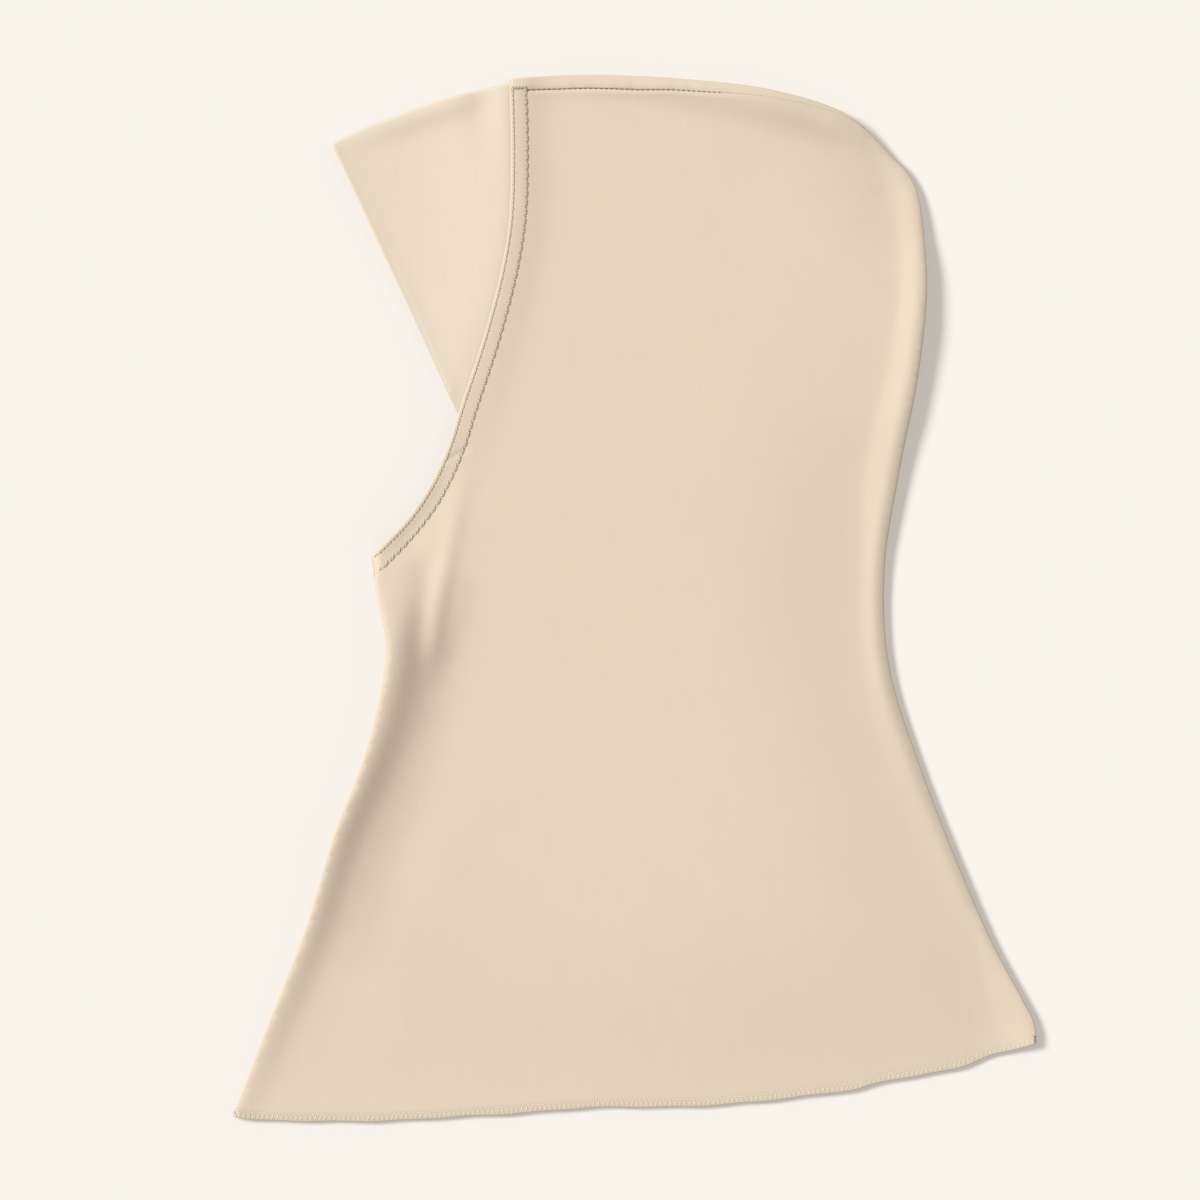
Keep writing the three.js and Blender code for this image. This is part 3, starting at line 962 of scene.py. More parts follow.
def grid_faces(rows: int, columns: int, start: int, flip: bool, ring: bool) -> list[tuple[int, ...]]:
    """Faces of a grid of vertices.

    Args:
        rows: Rows of the grid.
        columns: Vertices in a row.
        start: Number of its first vertex.
        flip: Whether the faces look the other way.
        ring: Whether the last row joins the first.

    Returns:
        Corners of each face.
    """
    faces = []
    for j in range(rows if ring else rows - 1):
        for i in range(columns - 1):
            a = start + j * columns + i
            d = start + (j + 1) % rows * columns + i
            faces.append((a, d, d + 1, a + 1) if flip else (a, a + 1, d + 1, d))
    return faces


def shell(
    name: str,
    wall: Wall,
    upper: Array,
    lower: Array,
    material: bpy.types.Material,
    ring: bool = False,
) -> Piece:
    """Closed piece of cloth from a grid of its middle.

    Args:
        name: Name of the piece.
        wall: Grid of the middle, rows by columns.
        upper: How far the outer face stands off the middle.
        lower: How far the inner face does.
        material: Its material.
        ring: Whether the last row joins the first.

    Returns:
        The piece.
    """
    rows, columns = wall.middle.shape[:2]
    outer = wall.off(np.broadcast_to(upper, (rows, columns)))
    inner = wall.off(-np.broadcast_to(lower, (rows, columns)))
    points = np.vstack([outer.reshape(-1, 3), inner.reshape(-1, 3)])
    half = rows * columns
    faces = grid_faces(rows, columns, 0, False, ring) + grid_faces(rows, columns, half, True, ring)
    end = columns - 1
    for j in range(rows if ring else rows - 1):
        a, b = j * columns, (j + 1) % rows * columns
        faces.append((a, b, half + b, half + a))
        faces.append((b + end, a + end, half + a + end, half + b + end))
    if not ring:
        last = (rows - 1) * columns
        for i in range(columns - 1):
            faces.append((i + 1, i, half + i, half + i + 1))
            faces.append((last + i, last + i + 1, half + last + i + 1, half + last + i))
    pattern = wall.pattern.reshape(-1, 3)
    return mesh_object(name, points, faces, material, np.vstack([pattern, pattern]))


def inside(loop: Array, places: Array, margin: float) -> Array:
    """Which places lie inside a closed loop.

    Args:
        loop: Points of the loop.
        places: Rows of plan points.
        margin: How far from the loop a place has to be.

    Returns:
        True for each place inside.
    """
    following = np.roll(loop, -1, axis=0)
    found = []
    for some in chunks(places):
        x, y = some[:, :1], some[:, 1:]
        crosses = (loop[:, 1] > y) != (following[:, 1] > y)
        height = np.where(following[:, 1] == loop[:, 1], 1.0, following[:, 1] - loop[:, 1])
        at = loop[:, 0] + (y - loop[:, 1]) / height * (following[:, 0] - loop[:, 0])
        found.append((crosses & (x < at)).sum(1) % 2 == 1)
    far = np.abs(Line(np.vstack([loop, loop[:1]])).nearest(places).distance) > margin
    return np.concatenate(found) & far


@dataclass
class Patch:
    """Plan of a piece of cloth: sides that close a loop clockwise, each with lines inside it.

    The height of a row and the gaps left to the loop and to its lines are shares of the spacing.
    """

    sides: list[tuple[Array, tuple[float, ...]]]
    spacing: float
    row_height: float = 0.866
    loop_gap: float = 0.6
    line_gap: float = 0.5

    def cut(self) -> tuple[Array, list[tuple[int, ...]], int]:
        """Cuts the plan into triangles.

        Returns:
            Plan points, whose first ones are the loop, the triangles, and the length of the loop.
        """
        loop = np.vstack([side[:-1] for side, _ in self.sides])
        extra = []
        for side, insets in self.sides:
            tangent = unit(np.gradient(side, axis=0))
            right = np.stack([tangent[:, 1], -tangent[:, 0]], axis=1)
            depth = max(insets, default=0.0)
            for inset in insets:
                ring = side + right * inset
                extra.append(ring[inside(loop, ring, min(0.9 * inset, 0.6 + 0.1 * depth))])
        low, high = loop.min(0), loop.max(0)
        xs = np.arange(low[0], high[0], self.spacing)
        ys = np.arange(low[1], high[1], self.spacing * self.row_height)
        grid = np.stack(np.meshgrid(xs, ys), axis=-1)
        grid[1::2, :, 0] += self.spacing / 2
        extra.append(self.clear(loop, grid.reshape(-1, 2)))
        points = np.vstack([loop, *extra])
        edges = [(i, (i + 1) % len(loop)) for i in range(len(loop))]
        made = delaunay_2d_cdt([Vector(p) for p in points.tolist()], edges, [], 1, 1e-7)
        if len(made[0]) != len(points):
            raise ValueError("two points of a cloth plan fall together")
        return points, [tuple(face) for face in made[2]], len(loop)

    def clear(self, loop: Array, grid: Array) -> Array:
        """Grid points inside the loop and past the lines inside each side.

        Args:
            loop: Points of the loop.
            grid: Rows of grid points.

        Returns:
            The points that are left.
        """
        grid = grid[inside(loop, grid, self.loop_gap * self.spacing)]
        for side, insets in self.sides:
            near = np.abs(Line(side).nearest(grid).distance)
            grid = grid[near > max(insets, default=0.0) + self.line_gap * self.spacing]
        return grid


@dataclass(frozen=True)
class Seam:
    """A seam line that draws the cloth down, with a lip beside it."""

    line: Line
    depth: float = 0.55
    width: float = 0.7
    lip: float = 0.25
    lip_at: float = 1.9
    lip_width: float = 1.0
    fades: tuple[float, float] = (30.0, 70.0)

    def strength(self, x: Array) -> Array:
        """How strong the seam is: it lies flat where the crown turns into the back."""
        low, high = self.fades
        return 1.0 - smooth_step((x - low) / (high - low))

    def lift(self, places: Array) -> Array:
        """How far the cloth moves along its normal.

        Args:
            places: Rows of plan points.

        Returns:
            The move at each place, up positive.
        """
        off = np.abs(self.line.nearest(places).distance)
        lift = -self.depth * bell(off, self.width) + self.lip * bell(off - self.lip_at, self.lip_width)
        return lift * self.strength(places[:, 0])


def patch_solid(
    name: str,
    patch: Patch,
    layer: Layer,
    shape: HoodShape,
    material: bpy.types.Material,
    dip: Seam | None = None,
) -> Piece:
    """Closed piece of cloth laid over a plan.

    Args:
        name: Name of the piece.
        patch: Its plan.
        layer: The layer that it lies in.
        shape: The resting shape.
        material: Its material.
        dip: Seam beside which the cloth is drawn down.

    Returns:
        The piece.
    """
    places, triangles, rim = patch.cut()
    wall = shape.lay(layer, places)
    middle = wall.middle
    if dip is not None:
        middle = middle + wall.normal * dip.lift(places)[:, None]
    half = layer.thickness / 2
    points = np.vstack([middle + wall.normal * half, middle - wall.normal * half])
    count = len(places)
    first = np.array(triangles)
    a, b, c = (points[first[:, k]][:, :2] for k in range(3))
    area = (b - a)[:, 0] * (c - a)[:, 1] - (b - a)[:, 1] * (c - a)[:, 0]
    up = layer.side.value
    turned = np.where((area * up > 0)[:, None], first, first[:, ::-1])
    faces = [tuple(face) for face in turned.tolist()]
    faces += [tuple(count + corner for corner in face[::-1]) for face in faces]
    for i in range(rim):
        j = (i + 1) % rim
        faces.append((i, j, count + j, count + i) if up > 0 else (j, i, count + i, count + j))
    # Painted shade: the upper layer's colour is darkened in its hollows and along its fold edges
    painted_shade = sum(crease.height(places) for crease in PAINTED_SHADES) if layer.relief else np.zeros(count)
    pattern = np.vstack([wall.pattern, wall.pattern])
    return mesh_object(name, points, faces, material, pattern, np.concatenate([painted_shade, painted_shade]))


def thread(
    name: str,
    paths: list[Array],
    normals: list[Array],
    radius: float,
    material: bpy.types.Material,
    sides: int = 5,
) -> Piece:
    """Thread along some paths, as one mesh.

    Args:
        name: Name of the piece.
        paths: Points of each run of thread, in millimetres.
        normals: The way out of the cloth at those points.
        radius: Half the thickness of the thread.
        material: Its material.
        sides: Sides of its section.

    Returns:
        The piece.
    """
    points, faces, start = [], [], 0
    turns = np.linspace(0.0, 2 * math.pi, sides, endpoint=False)
    for path, normal in zip(paths, normals):
        tangent = unit(np.gradient(path, axis=0))
        across = unit(np.cross(tangent, normal))
        lift = np.cross(across, tangent)
        ring = across[:, None] * np.cos(turns)[:, None] + lift[:, None] * np.sin(turns)[:, None]
        points.append((path[:, None] + ring * radius).reshape(-1, 3))
        count = len(path)
        for j in range(count - 1):
            for k in range(sides):
                a, b = start + j * sides + k, start + j * sides + (k + 1) % sides
                faces.append((a, b, b + sides, a + sides))
        faces.append(tuple(start + k for k in range(sides))[::-1])
        faces.append(tuple(start + (count - 1) * sides + k for k in range(sides)))
        start += count * sides
    return mesh_object(name, np.vstack(points), faces, material)


@dataclass(frozen=True)
class Finishes:
    """The materials of the hood, made once."""

    jersey: bpy.types.Material
    visor: bpy.types.Material
    band: bpy.types.Material
    hem: bpy.types.Material
    stitch: bpy.types.Material
    hem_thread: bpy.types.Material
    # The next two threads carry painted shade: the seam's ditch and the needle holes
    shaded_seam_thread: bpy.types.Material
    needle_hole_shade: bpy.types.Material

    @classmethod
    def make(cls) -> "Finishes":
        """Builds them all.

        Returns:
            The materials.
        """
        cloths = (BODY_JERSEY, VISOR_JERSEY, BAND_JERSEY, HEM_JERSEY)
        threads = (CREAM_THREAD, HEM_THREAD, SHADED_SEAM_THREAD, NEEDLE_HOLE_SHADE)
        return cls(*(finish.material() for finish in (*cloths, *threads)))


def eased(length: float, step: float, inset: float, turns: int = 9) -> Array:
    """Shares of a line that crosses a fold at both ends, close together over the rolls.

    Args:
        length: Length of the line.
        step: Length of a step between the rolls.
        inset: How far inside the ends the rolls start.
        turns: Places over each roll.

    Returns:
        The shares, from 0 to 1.
    """
    rolls = inset + ROLL * (1.0 - np.cos(np.linspace(0.0, math.pi / 2, turns)))
    start = np.concatenate([[0.0], rolls]) / length
    count = max(2, round((1.0 - 2 * start[-1]) * length / step))
    middle = np.linspace(start[-1], 1.0 - start[-1], count + 1)[1:-1]
    return np.concatenate([start, middle, 1.0 - start[::-1]])


@dataclass
class Panels:
    """The two side panels, the strip of the far one that shows at the crown, and the crown seam."""

    shape: HoodShape
    finishes: Finishes
    step: float = 2.0
    spacing: float = 2.3
    far_spacing: float = 4.0
    fine_insets: tuple[float, ...] = (0.5, 1.1, 1.9, 3.0)
    under_band: float = 1.6
    under_hem: float = 1.2
    strip_start: float = -62.0
    strip_end: float = 116.0
    strip_columns: int = 15
    dip: float = 0.5
    dip_width: float = 0.8
    dash: float = 1.7
    dash_pitch: float = 2.6
    dash_start: float = 5.0
    dash_end: float = 44.0
    dash_radius: float = 0.24
    samples: int = 300
    cut_samples: int = 400
    trim_step: float = 0.2
    trim_gap: float = 0.25
    keep_gap: float = 0.9

    def seam_line(self) -> Line:
        """The crown seam in plan, from the band to where it meets the fold.

        Returns:
            The line.
        """
        crown = self.shape.back.at(np.linspace(0.0, 0.5, self.cut_samples))[:, :2]
        crown = crown[(crown[:, 0] < self.strip_end) & (crown[:, 0] > self.strip_start)]
        fold = self.shape.back.nearest(crown)
        inset = np.interp(crown[:, 0], *np.array(CROWN_STRIP).T)
        return Line(crown - fold.out * inset[:, None]).stepped(self.step)

    def edge(self, line: Line, shares: Array, offset: float) -> Array:
        """Points beside a line in even steps.

        Args:
            line: The line.
            shares: Shares of its length to go by.
            offset: Distance to its right.

        Returns:
            Rows of plan points.
        """
        return Line(line.beside(shares, offset)).stepped(self.step).points

    def sides(self, top: Array, inset: float, detailed: bool) -> list[tuple[Array, tuple[float, ...]]]:
        """Sides of a panel, clockwise from the bottom of the front fold.

        Args:
            top: Its top line, from the band to the back fold.
            inset: How far inside the folds it ends.
            detailed: Whether lines of vertices follow its other edges.

        Returns:
            Each side's points and the distances of the lines inside it.
        """
        shape, up = self.shape, np.linspace(0, 1, self.samples)
        fine = self.fine_insets if detailed else ()
        front = self.edge(shape.front, up, inset)
        band = self.edge(shape.band_inner, up, -self.under_band)
        hem = self.edge(shape.hem, np.linspace(1, 0, self.samples), -(HEM_WIDTH - self.under_hem))
        back = Line(self.edge(shape.back, np.linspace(0, 1, 2 * self.samples), inset))
        start = back.share_near(*top[-1])
        back = Line(back.at(np.linspace(start, 1.0, self.cut_samples))).stepped(self.step).points
        front, back = self.trimmed(front, hem, True), self.trimmed(back, hem, False)
        front = front[front[:, 1] < band[0, 1] - 1.0]
        band = band[band[:, 1] < top[0, 1] - 1.0]
        band = band[band[:, 1] > front[-1, 1]]
        hem = hem[(hem[:, 0] < back[-1, 0] - 1.0) & (hem[:, 0] > front[0, 0] + 1.0)]
        corners = [front, np.vstack([front[-1], band, top[0]]), top, np.vstack([top[-1], back[1:]])]
        corners.append(np.vstack([back[-1], hem, front[0]]))
        return list(zip(corners, (ROLL_INSETS, fine, fine, ROLL_INSETS, fine)))

    def trimmed(self, fold: Array, hem: Array, at_start: bool) -> Array:
        """A fold's points down to the line above the hem.

        Args:
            fold: Points along a fold.
            hem: Points of the line above the hem.
            at_start: Whether the hem lies at the start of the fold.

        Returns:
            The points that are left, with one right above the line.
        """
        fine = Line(fold).stepped(self.trim_step).points
        fine = fine[Line(hem).nearest(fine).distance > self.trim_gap]
        kept = fold[Line(hem).nearest(fold).distance > self.keep_gap]
        return np.vstack([fine[:1], kept]) if at_start else np.vstack([kept, fine[-1:]])

    def near(self) -> Piece:
        """The panel that lies uppermost.

        Returns:
            The piece.
        """
        seam = self.seam_line()
        patch = Patch(self.sides(seam.points, JERSEY / 2, True), self.spacing)
        return patch_solid("near_side", patch, UPPER_LAYER, self.shape, self.finishes.jersey, Seam(seam))

    def far(self) -> Piece:
        """The panel on the floor, up to the crown fold.

        Returns:
            The piece.
        """
        back = self.shape.back.beside(np.linspace(0, 1, 2 * self.samples), JERSEY / 2)
        top = back[(back[:, 0] < self.strip_end) & (back[:, 1] > 200.0) & (back[:, 0] > -58.0)]
        top = Line(top).stepped(self.step).points
        sides = self.sides(top, JERSEY / 2, False)
        sides[2] = (sides[2][0], ROLL_INSETS)
        patch = Patch(sides, self.far_spacing)
        return patch_solid("far_side", patch, LOWER_LAYER, self.shape, self.finishes.jersey)

    def strip(self) -> Piece:
        """The far panel's strip between the crown fold and the seam, puckered towards the seam.

        Returns:
            The piece.
        """
        line = self.seam_line()
        seam = line.points
        fold = self.shape.back.nearest(seam)
        shares = np.linspace(0.0, 1.0, self.strip_columns)[:, None]
        inset = np.maximum(0.0, fold.distance - JERSEY / 2)
        depth = JERSEY / 2 + inset * (1.0 - np.cos(shares * math.pi / 2))
        foot = seam + fold.out * fold.distance[:, None]
        wall = self.shape.lay(UPPER_LAYER, foot - fold.out * depth[..., None])
        along = np.cumsum(np.full(len(seam), self.step))
        pucker = 0.16 * np.sin(along / 1.3) * np.sin(along / 9.0 + 1.0) + 0.14 * np.sin(along / 3.7)
        dip = -self.dip * bell((1.0 - shares) * inset, self.dip_width)
        lift = (pucker * shares + dip) * Seam(line).strength(seam[:, 0])
        half = JERSEY / 2
        return shell("crown_strip", wall, half + lift, half - lift, self.finishes.jersey)

    def stitches(self) -> Piece:
        """The dashes of thread in the crown seam, coloured dark for painted shade in its ditch, shorter where
        it fades.

        Returns:
            The piece.
        """
        seam = self.seam_line()
        bend = np.linspace(0.0, 1.0, 7)
        paths, normals = [], []
        for k in range(int((seam.length() - 6.0) / self.dash_pitch)):
            start = self.dash_start + k * self.dash_pitch
            x = seam.at(np.array(start / seam.length()))[0]
            if x > self.dash_end:
                break
            dash = self.dash * (1.0 - 0.65 * float(smooth_step(x / self.dash_end)))
            wall = self.shape.lay(UPPER_LAYER, seam.at((start + dash * bend) / seam.length()))
            paths.append(wall.off(0.02 + 0.22 * np.sin(math.pi * bend)))
            normals.append(wall.normal)
        return thread("crown_seam_stitches", paths, normals, self.dash_radius, self.finishes.shaded_seam_thread)

    def build(self, hem: list[Piece]) -> None:
        """Builds the panels and hides the CAD panels in their place.

        Args:
            hem: The pieces of the hem, which go with the upper panel; not used.
        """
        near, far, strip, stitches = self.near(), self.far(), self.strip(), self.stitches()
        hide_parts("near_panel")
        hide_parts("far_panel")
        place([near, far, strip, stitches])


@dataclass
class FaceBand:
    """The turned edge round the face opening with its two rows of cover stitch."""

    shape: HoodShape
    finishes: Finishes
    step: float = 0.6
    columns: int = 26
    width: float = 8.6
    thickness: float = 2.0
    roll: float = 4.0
    rounding: float = 1.1
    end_step: float = 0.5
    fall: float = 0.42
    rows: tuple[float, float] = (1.7, 7.9)
    sway: tuple[float, float] = (0.25, 0.8)
    pitch: float = 2.2
    ditch: float = 0.14
    ditch_width: float = 0.65
    crossing_at: tuple[float, float] = (-61.8, 255.2)
    crossing_pitch: float = 1.6
    loop_radius: float = 0.25
    dip_radius: float = 0.2

    def profile(self, across: Array, along: Array) -> tuple[Array, Array]:
        """How far the faces of the band stand off its middle.

        Args:
            across: Distance from the outer edge.
            along: Distance along the band.

        Returns:
            The outer face's and the inner face's distance.
        """
        nose = rounded(across, self.rounding)
        back = np.clip((self.width - across) / self.end_step, 0.0, 1.0) ** 0.5
        slope = 1.0 - self.fall * smooth_step((across - 1.0) / (self.width - 2.0))
        upper = slope * nose * (0.6 + 0.4 * back)
        pull = 0.72 + 0.28 * np.cos(2 * math.pi * along / self.pitch)
        for row in self.rows:
            upper = upper - self.ditch * pull * bell(across - row, self.ditch_width)
        return np.maximum(upper, 0.05), np.maximum(0.9 * nose, 0.02)

    def wall(self, side: Side, shares: Array, across: Array) -> Wall:
        """Middle of the band on one side.

        Args:
            side: The side.
            shares: Shares of the length of the band.
            across: Distances from the outer edge, of a shape that goes with the shares.

        Returns:
            The wall.
        """
        level = BAND_LEVEL if side is Side.NEAR else BAND_FAR_LEVEL
        layer = Layer(side, FOLD_LEVEL, level, self.thickness, side is Side.NEAR, self.roll)
        outer = self.shape.band_outer.at(shares)[..., :2]
        inner = self.shape.band_inner.at(shares)[..., :2]
        part = (across / self.width)[..., None]
        return self.shape.lay(layer, outer * (1 - part) + inner * part)

    def build(self) -> None:
        """Builds the band and its stitches and hides the CAD band in their place."""
        length = self.shape.band_outer.length()
        shares = eased(length, self.step, 1.0)
        back = shares[::-1][1:-1]
        across = close_at_ends(self.width, self.columns)
        near, far = (
            self.wall(side, some[:, None], across) for side, some in ((Side.NEAR, shares), (Side.FAR, back))
        )
        wall = near.joined(far)
        along = np.concatenate([shares, back])[:, None] * length
        wall.pattern[..., 0] = across + 0.35 * along
        wall.pattern[..., 1] = along
        upper, lower = self.profile(across, along)
        band = shell("turned_band", wall, upper, lower, self.finishes.band, ring=True)
        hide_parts("face_band")
        rows = []
        for name, at, sway in zip(("outer", "inner"), self.rows, self.sway):
            rows += self.stitches(name, at, sway)
        rows += self.crossing()
        place([band, *rows])

    def dashes(self, at: float, sway: float, start: float, length: float, lift: float) -> Runs:
        """Short runs of thread along one row, one to a stitch.

        Args:
            at: Distance of the row from the outer edge.
            sway: How far the runs slant to either side.
            start: Where a run starts within its stitch.
            length: Length of a run.
            lift: How far its middle stands off the band.

        Returns:
            The points of each run and the way out of the band there.
        """
        whole = self.shape.band_outer.length()
        bend = np.linspace(0.0, 1.0, 6)
        paths, normals = [], []
        for side in Side:
            for k in range(int((whole - 5.0) / self.pitch)):
                hand = 1.0 if k % 2 else -1.0
                along = 2.5 + k * self.pitch + start + length * bend
                across = at + hand * sway * (2.0 * bend - 1.0)
                wall = self.wall(side, along / whole, across)
                upper, _ = self.profile(across, along)
                paths.append(wall.off(upper + lift * np.sin(math.pi * bend)))
                normals.append(wall.normal)
        return paths, normals

    def stitches(self, name: str, at: float, sway: float) -> list[Piece]:
        """One row of cover stitch: pale loops, and dark dashes between them, coloured as painted shade in the
        needle holes.

        Args:
            name: Name of the row.
            at: Distance of the row from the outer edge.
            sway: How far the loops slant to either side.

        Returns:
            The loops and the dark dashes of painted shade.
        """
        loops = self.dashes(at, sway, 0.0, 0.8 * self.pitch, 0.3)
        # Dark dashes between the loops: painted shade in the needle holes
        hole_shades = self.dashes(at + 0.25, -0.5, 0.68 * self.pitch, 0.32 * self.pitch, 0.06)
        return [
            thread(f"cover_stitch_{name}", *loops, self.loop_radius, self.finishes.stitch, 5),
            thread(f"cover_hole_shade_{name}", *hole_shades, self.dip_radius, self.finishes.needle_hole_shade, 4),
        ]

    def crossing(self) -> list[Piece]:
        """The end of the crown seam, sewn down across the band.

        Returns:
            The pale thread, and the dark thread of painted shade in its needle holes.
        """
        whole = self.shape.band_outer.length()
        base = self.shape.band_outer.share_near(*self.crossing_at) * whole
        across = np.linspace(0.9, self.width - 0.3, 36)
        pieces = []
        # The second thread is coloured dark as painted shade in the needle holes
        threads = (("pale", 0.0, self.finishes.stitch), ("hole_shade", -0.7, self.finishes.needle_hole_shade))
        for name, shift, finish in threads:
            along = base + shift + 0.4 * np.sin(across * 2 * math.pi / self.crossing_pitch)
            wall = self.wall(Side.NEAR, along / whole, across)
            upper, _ = self.profile(across, along)
            path = wall.off(upper + 0.1 + 0.1 * np.cos(across * 4 * math.pi / self.crossing_pitch))
            pieces.append(thread(f"crown_end_{name}", [path], [wall.normal], self.dip_radius, finish))
        return pieces


@dataclass
class Visor:
    """The soft brim: cloth folded double at its front edge, and over its top, tucked under the band.

    Near and far are the heights of a side at its free edge and under the band, and depth and length are
    the rough size of a side.
    """

    shape: HoodShape
    finishes: Finishes
    tuck: float = 5.5
    roll: float = 0.7
    half: float = 0.75
    columns: int = 44
    rows: int = 70
    depth: float = 85.0
    length: float = 150.0
    nose: float = 1.5
    rounding: float = 1.3
    press: float = 0.18
    press_at: float = 3.2
    press_width: float = 1.2
    near: tuple[float, float] = (4.9, 7.7)
    far: tuple[float, float] = (1.0, 3.8)
    near_settle: float = 55.0
    far_settle: float = 12.0
    creases: tuple[Crease, ...] = (
        # Ridge along the top
        Crease(
            (
                (-150.0, 224.6, 0.2),
                (-139.6, 230.1, 0.7),
                (-115.6, 239.6, 1.8),
                (-95.0, 246.6, 1.9),
                (-82.0, 250.3, 1.2),
                (-70.0, 252.8, 0.2),
            ),
            6.5,
        ),
        # Front edge
        Crease(((-86, 90, 0.5), (-118, 158, 0.6), (-151, 227, 0.7)), 5.5),
        # Swell of the front
        Crease(((-86, 90, 0.2), (-118, 158, 0.5), (-151, 227, 0.9)), 24.0),
        # Dip beside the crown
        Crease(((-76, 256, -1.2), (-76, 244, -1.0), (-74, 230, -0.4), (-73, 212, 0.0)), 8.0),
    )

    def top_fold(self) -> Line:
        """The fold over the top of the brim."""
        return Line.through(VISOR_TOP, 1.0)

    def height(self, side: Side, places: Array) -> Array:
        """Height of the middle of the cloth away from the top fold.

        Args:
            side: The side.
            places: Rows of plan points.

        Returns:
            The height at each.
        """
        is_near = side is Side.NEAR
        free, tucked = self.near if is_near else self.far
        off = -self.shape.band_outer.nearest(places).distance
        share = np.clip(off / (self.near_settle if is_near else self.far_settle), 0.0, 1.0)
        height = tucked + (free - tucked) * (smooth_step(share) + 1.0 - (1.0 - share) ** 2) / 2
        if is_near:
            height = height + smooth_step(off / 8.0) * sum(crease.height(places) for crease in self.creases)
        return height

    def middle(self, places: Array) -> Array:
        """Height half way between the two sides."""
        return (self.height(Side.NEAR, places) + self.height(Side.FAR, places)) / 2

    def wall(self, side: Side, places: Array) -> Wall:
        """Lays plan points on one side of the brim.

        Args:
            side: The side.
            places: Plan points of any shape, x and y last.

        Returns:
            The wall at those points, in the same shape.
        """
        flat = places.reshape(-1, 2)
        fold = self.top_fold().nearest(flat)
        short = np.maximum(0.0, self.half - fold.distance)
        flat = flat - fold.out * short[:, None]
        turn = np.clip((fold.distance + short - self.half) / self.roll, 0.0, 1.0)
        swell = rounded(turn)
        level = self.middle(flat)
        rise = self.height(side, flat) - level
        low = slopes(self.middle, flat)
        high = slopes(lambda at: self.height(side, at), flat)
        tilt = swell[:, None] * low + swell[:, None] ** 2 * (high - low)
        up = side.value
        over = np.abs(rise) * (1.0 - turn) / self.roll
        normal = np.column_stack([over[:, None] * fold.out - up * tilt, up * swell])
        points = np.column_stack([flat, level + rise * swell])
        pattern = np.column_stack([flat, np.full(len(flat), 5.0 * up)])
        return Wall.over(places, points, normal, pattern)

    def plan(self, across: Array, along: Array) -> Array:
        """Plan points of the brim, blended between its four edges.

        Args:
            across: Shares from the front edge to the tuck under the band.
            along: Shares from the foot to the top fold.

        Returns:
            Points, a row to each share along.
        """
        band = self.shape.band_outer
        top_line = self.top_fold()
        top = top_line.at(across)[:, :2]
        tip, end = top_line.at(np.array([0.0, 1.0]))[:, :2]
        foot = np.array(VISOR_FOOT)
        start_share = band.share_near(*VISOR_FOOT)
        end_share = band.share_near(end[0] - self.tuck, end[1])

        def tucked(share: Array) -> Array:
            """Points of the line under the band."""
            return band.beside(start_share + (end_share - start_share) * share, self.tuck)

        close = end - tucked(np.array([1.0]))[0]
        right = tucked(along) + close * along[:, None]
        left = foot + (tip - foot) * along[:, None]
        bottom = foot + (tucked(np.array([0.0]))[0] - foot) * across[:, None]
        u, v = across[None, :, None], along[:, None, None]
        blend = (1 - v) * bottom[None] + v * top[None] + (1 - u) * left[:, None] + u * right[:, None]
        corners = (1 - u) * (1 - v) * foot + u * (1 - v) * bottom[-1] + (1 - u) * v * tip + u * v * top[-1]
        return blend - corners

    def build(self) -> None:
        """Builds the brim and hides the CAD visor in its place."""
        near_edge = self.nose * (1.0 - np.cos(np.linspace(0.0, math.pi / 2, 8))) / self.depth
        across = np.concatenate([near_edge, np.linspace(near_edge[-1], 1.0, self.columns)[1:]])
        rolls = (self.half + self.roll * (1.0 - np.cos(np.linspace(math.pi / 2, 0.0, 12)))) / self.length
        along = np.concatenate([np.linspace(0.0, 1.0 - rolls[0], self.rows)[:-1], 1.0 - rolls, [1.0]])
        places = self.plan(across, along)
        wall = self.wall(Side.NEAR, places).joined(self.wall(Side.FAR, places[::-1][1:]))
        edge = across * self.depth
        half = self.half * rounded(edge, self.rounding)
        upper = np.maximum(half - self.press * bell(edge - self.press_at, self.press_width), 0.03)
        visor = shell("soft_visor", wall, upper, np.maximum(half, 0.03), self.finishes.visor)
        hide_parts("visor")
        place([visor])


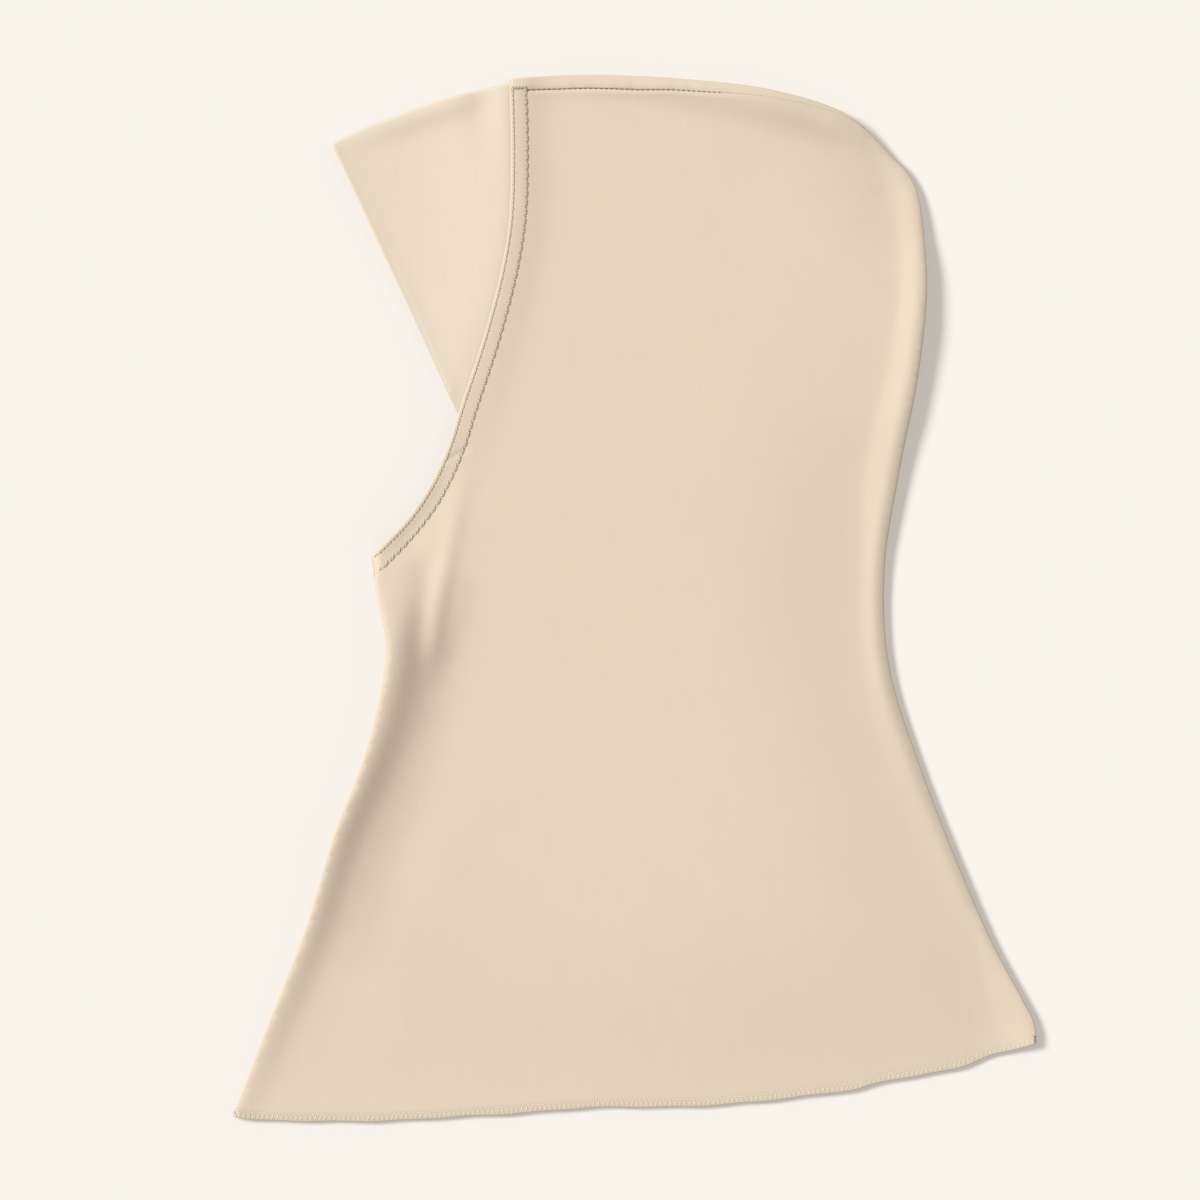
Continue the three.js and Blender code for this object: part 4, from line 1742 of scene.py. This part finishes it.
@dataclass
class HemEdge:
    """The overlocked edge round the shoulder hem: rolled cloth under zig-zag loops of thread."""

    shape: HoodShape
    finishes: Finishes
    step: float = 1.0
    pitch: float = 2.4
    columns: int = 16
    width: float = 4.3
    thickness: float = 1.3
    half: float = 0.6
    rounding: float = 0.8
    end_step: float = 0.6
    thread_radius: float = 0.2
    ends: tuple[float, float] = (0.004, 0.996)

    def wave(self, along: Array, side: Side) -> Array:
        """How far the edge strays outward, as stretched jersey does. The far one keeps out of sight."""
        base = 0.26 * np.sin(along / 5.3 + 1.0) + 0.2 * np.sin(along / 11.7 + 2.0)
        return base + (-0.5 if side is Side.FAR else 0.0)

    def wall(self, side: Side, shares: Array, across: Array) -> Wall:
        """Middle of the hem on one side.

        Args:
            side: The side.
            shares: Shares of the length of the hem.
            across: Distances from the outer edge, of a shape that goes with the shares.

        Returns:
            The wall.
        """
        height = NEAR_LEVEL if side is Side.NEAR else HEM_FAR_LEVEL
        layer = Layer(side, FOLD_LEVEL, height, self.thickness, side is Side.NEAR, ROLL)
        length = self.shape.hem.length()
        ends = smooth_step(np.minimum(shares, 1.0 - shares) * length / 12.0)
        stray = self.wave(shares * length, side) * ends
        offset = across - stray * (1.0 - across / self.width)
        return self.shape.lay(layer, self.shape.hem.beside(shares, -offset))

    def profile(self, across: Array) -> tuple[Array, Array]:
        """How far the faces of the hem stand off its middle.

        Args:
            across: Distance from the outer edge.

        Returns:
            The outer face's and the inner face's distance.
        """
        nose = self.half * rounded(across, self.rounding)
        tail = np.clip((self.width - across) / self.end_step, 0.0, 1.0) ** 0.5
        return np.maximum(nose * (0.4 + 0.6 * tail), 0.04), np.maximum(nose, 0.03)

    def loops(self, side: Side) -> Runs:
        """Zig-zag looper thread and the needle thread of one side.

        Args:
            side: The side.

        Returns:
            The points of each thread and the way out of the hem there.
        """
        count = round(self.shape.hem.length() / self.pitch)
        turn = np.linspace(*self.ends, count * 10)
        phase = turn * count * 2 * math.pi
        swing = 0.5 - 0.5 * np.cos(phase)
        across = 0.05 + (HEM_WIDTH - 0.75) * swing
        wall = self.wall(side, turn + 0.16 * np.sin(phase) / count, across)
        upper, _ = self.profile(across)
        zigzag = wall.off(upper + 0.12 - 0.5 * (1.0 - np.clip(across / 0.5, 0.0, 1.0)))
        beat = np.linspace(*self.ends, count * 6)
        needle_at = np.full(len(beat), HEM_WIDTH - 0.55)
        needle_wall = self.wall(side, beat, needle_at)
        needle_upper, _ = self.profile(needle_at)
        needle = needle_wall.off(needle_upper + 0.2 * np.cos(beat * count * 2 * math.pi))
        return [zigzag, needle], [wall.normal, needle_wall.normal]

    def build(self) -> list[Piece]:
        """Builds the hem and its threads, hides the CAD hem edge in their place, and returns them.

        Returns:
            The hem and its threads.
        """
        shares = eased(self.shape.hem.length(), self.step, 0.8)
        across = close_at_ends(self.width, self.columns)
        near = self.wall(Side.NEAR, shares[:, None], across)
        wall = near.joined(self.wall(Side.FAR, shares[::-1][1:-1, None], across))
        upper, lower = self.profile(across)
        hem = shell("overlocked_edge", wall, lower + 0.1, upper, self.finishes.hem, ring=True)
        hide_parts("hem_edge")
        pieces = [hem]
        for side in Side:
            name = f"overlock_{side.name.lower()}"
            pieces.append(thread(name, *self.loops(side), self.thread_radius, self.finishes.hem_thread))
        place(pieces)
        return pieces


@dataclass
class Studio:
    """Floor, light and camera."""

    floor_size: float = 9.0
    floor_level: float = -0.1
    view_centre: tuple[float, float] = (-0.0165, -0.0005)
    view_height: float = 3.3393
    lens: float = 200.0
    sensor: float = 36.0
    view_reach: float = 20.0
    key_elevation: float = 42.0
    key_from: float = 157.0
    key_strength: float = 2.94
    key_spread: float = 19.0
    key_colour: tuple[float, float, float] = (0.975, 1.0, 1.045)
    fill: float = 0.39
    fill_colour: tuple[float, float, float] = (1.045, 0.985, 0.905)

    def floor(self) -> Piece:
        """The paper that the hood lies on.

        Returns:
            The floor, linked to the scene.
        """
        half = self.floor_size / 2 / MM
        signs = ((-1, -1), (1, -1), (1, 1), (-1, 1))
        corners = np.array([[half * x, half * y, self.floor_level] for x, y in signs])
        return mesh_object("floor", corners, [(0, 1, 2, 3)], PAPER.material())

    def key(self) -> bpy.types.Object:
        """The key light, which gives direct light only.

        Returns:
            The light, not linked yet.
        """
        sun = bpy.data.lights.new("key", "SUN")
        sun.energy = self.key_strength
        sun.angle = math.radians(self.key_spread)
        sun.color = self.key_colour
        sun.cycles.max_bounces = 0
        key = bpy.data.objects.new("key", sun)
        elevation, azimuth = math.radians(self.key_elevation), math.radians(self.key_from)
        level = math.cos(elevation)
        toward = Vector((level * math.cos(azimuth), level * math.sin(azimuth), math.sin(elevation)))
        key.rotation_euler = toward.to_track_quat("Z", "Y").to_euler()
        return key

    def fill_light(self) -> bpy.types.World:
        """The even light from all round.

        Returns:
            The world.
        """
        world = bpy.data.worlds.new("fill")
        world.use_nodes = True
        background = world.node_tree.nodes["Background"]
        background.inputs["Color"].default_value = (*self.fill_colour, 1.0)
        background.inputs["Strength"].default_value = self.fill
        return world

    def camera(self) -> bpy.types.Object:
        """The camera, which looks straight down.

        Returns:
            The camera, not linked yet.
        """
        lens = bpy.data.cameras.new("view")
        lens.lens = self.lens
        lens.sensor_width = self.sensor
        lens.clip_end = self.view_reach
        camera = bpy.data.objects.new("view", lens)
        camera.location = (*self.view_centre, self.view_height)
        return camera

    def build(self) -> None:
        """Builds the floor, the key light, the fill and the camera."""
        scene = bpy.context.scene
        self.floor()
        key, camera = self.key(), self.camera()
        scene.collection.objects.link(key)
        scene.collection.objects.link(camera)
        scene.world = self.fill_light()
        scene.camera = camera
        scene.view_settings.view_transform = "Standard"
        LOG.info("studio: floor, key, fill and camera")


def main() -> None:
    """Builds the hood piece by piece."""
    logging.basicConfig(level=logging.INFO, format="%(name)s: %(message)s")
    Studio().build()
    shape, finishes = HoodShape(), Finishes.make()
    hem = HemEdge(shape, finishes).build()
    Panels(shape, finishes).build(hem)
    Visor(shape, finishes).build()
    FaceBand(shape, finishes).build()
    bpy.context.view_layer.update()


if __name__ == "__main__":
    main()
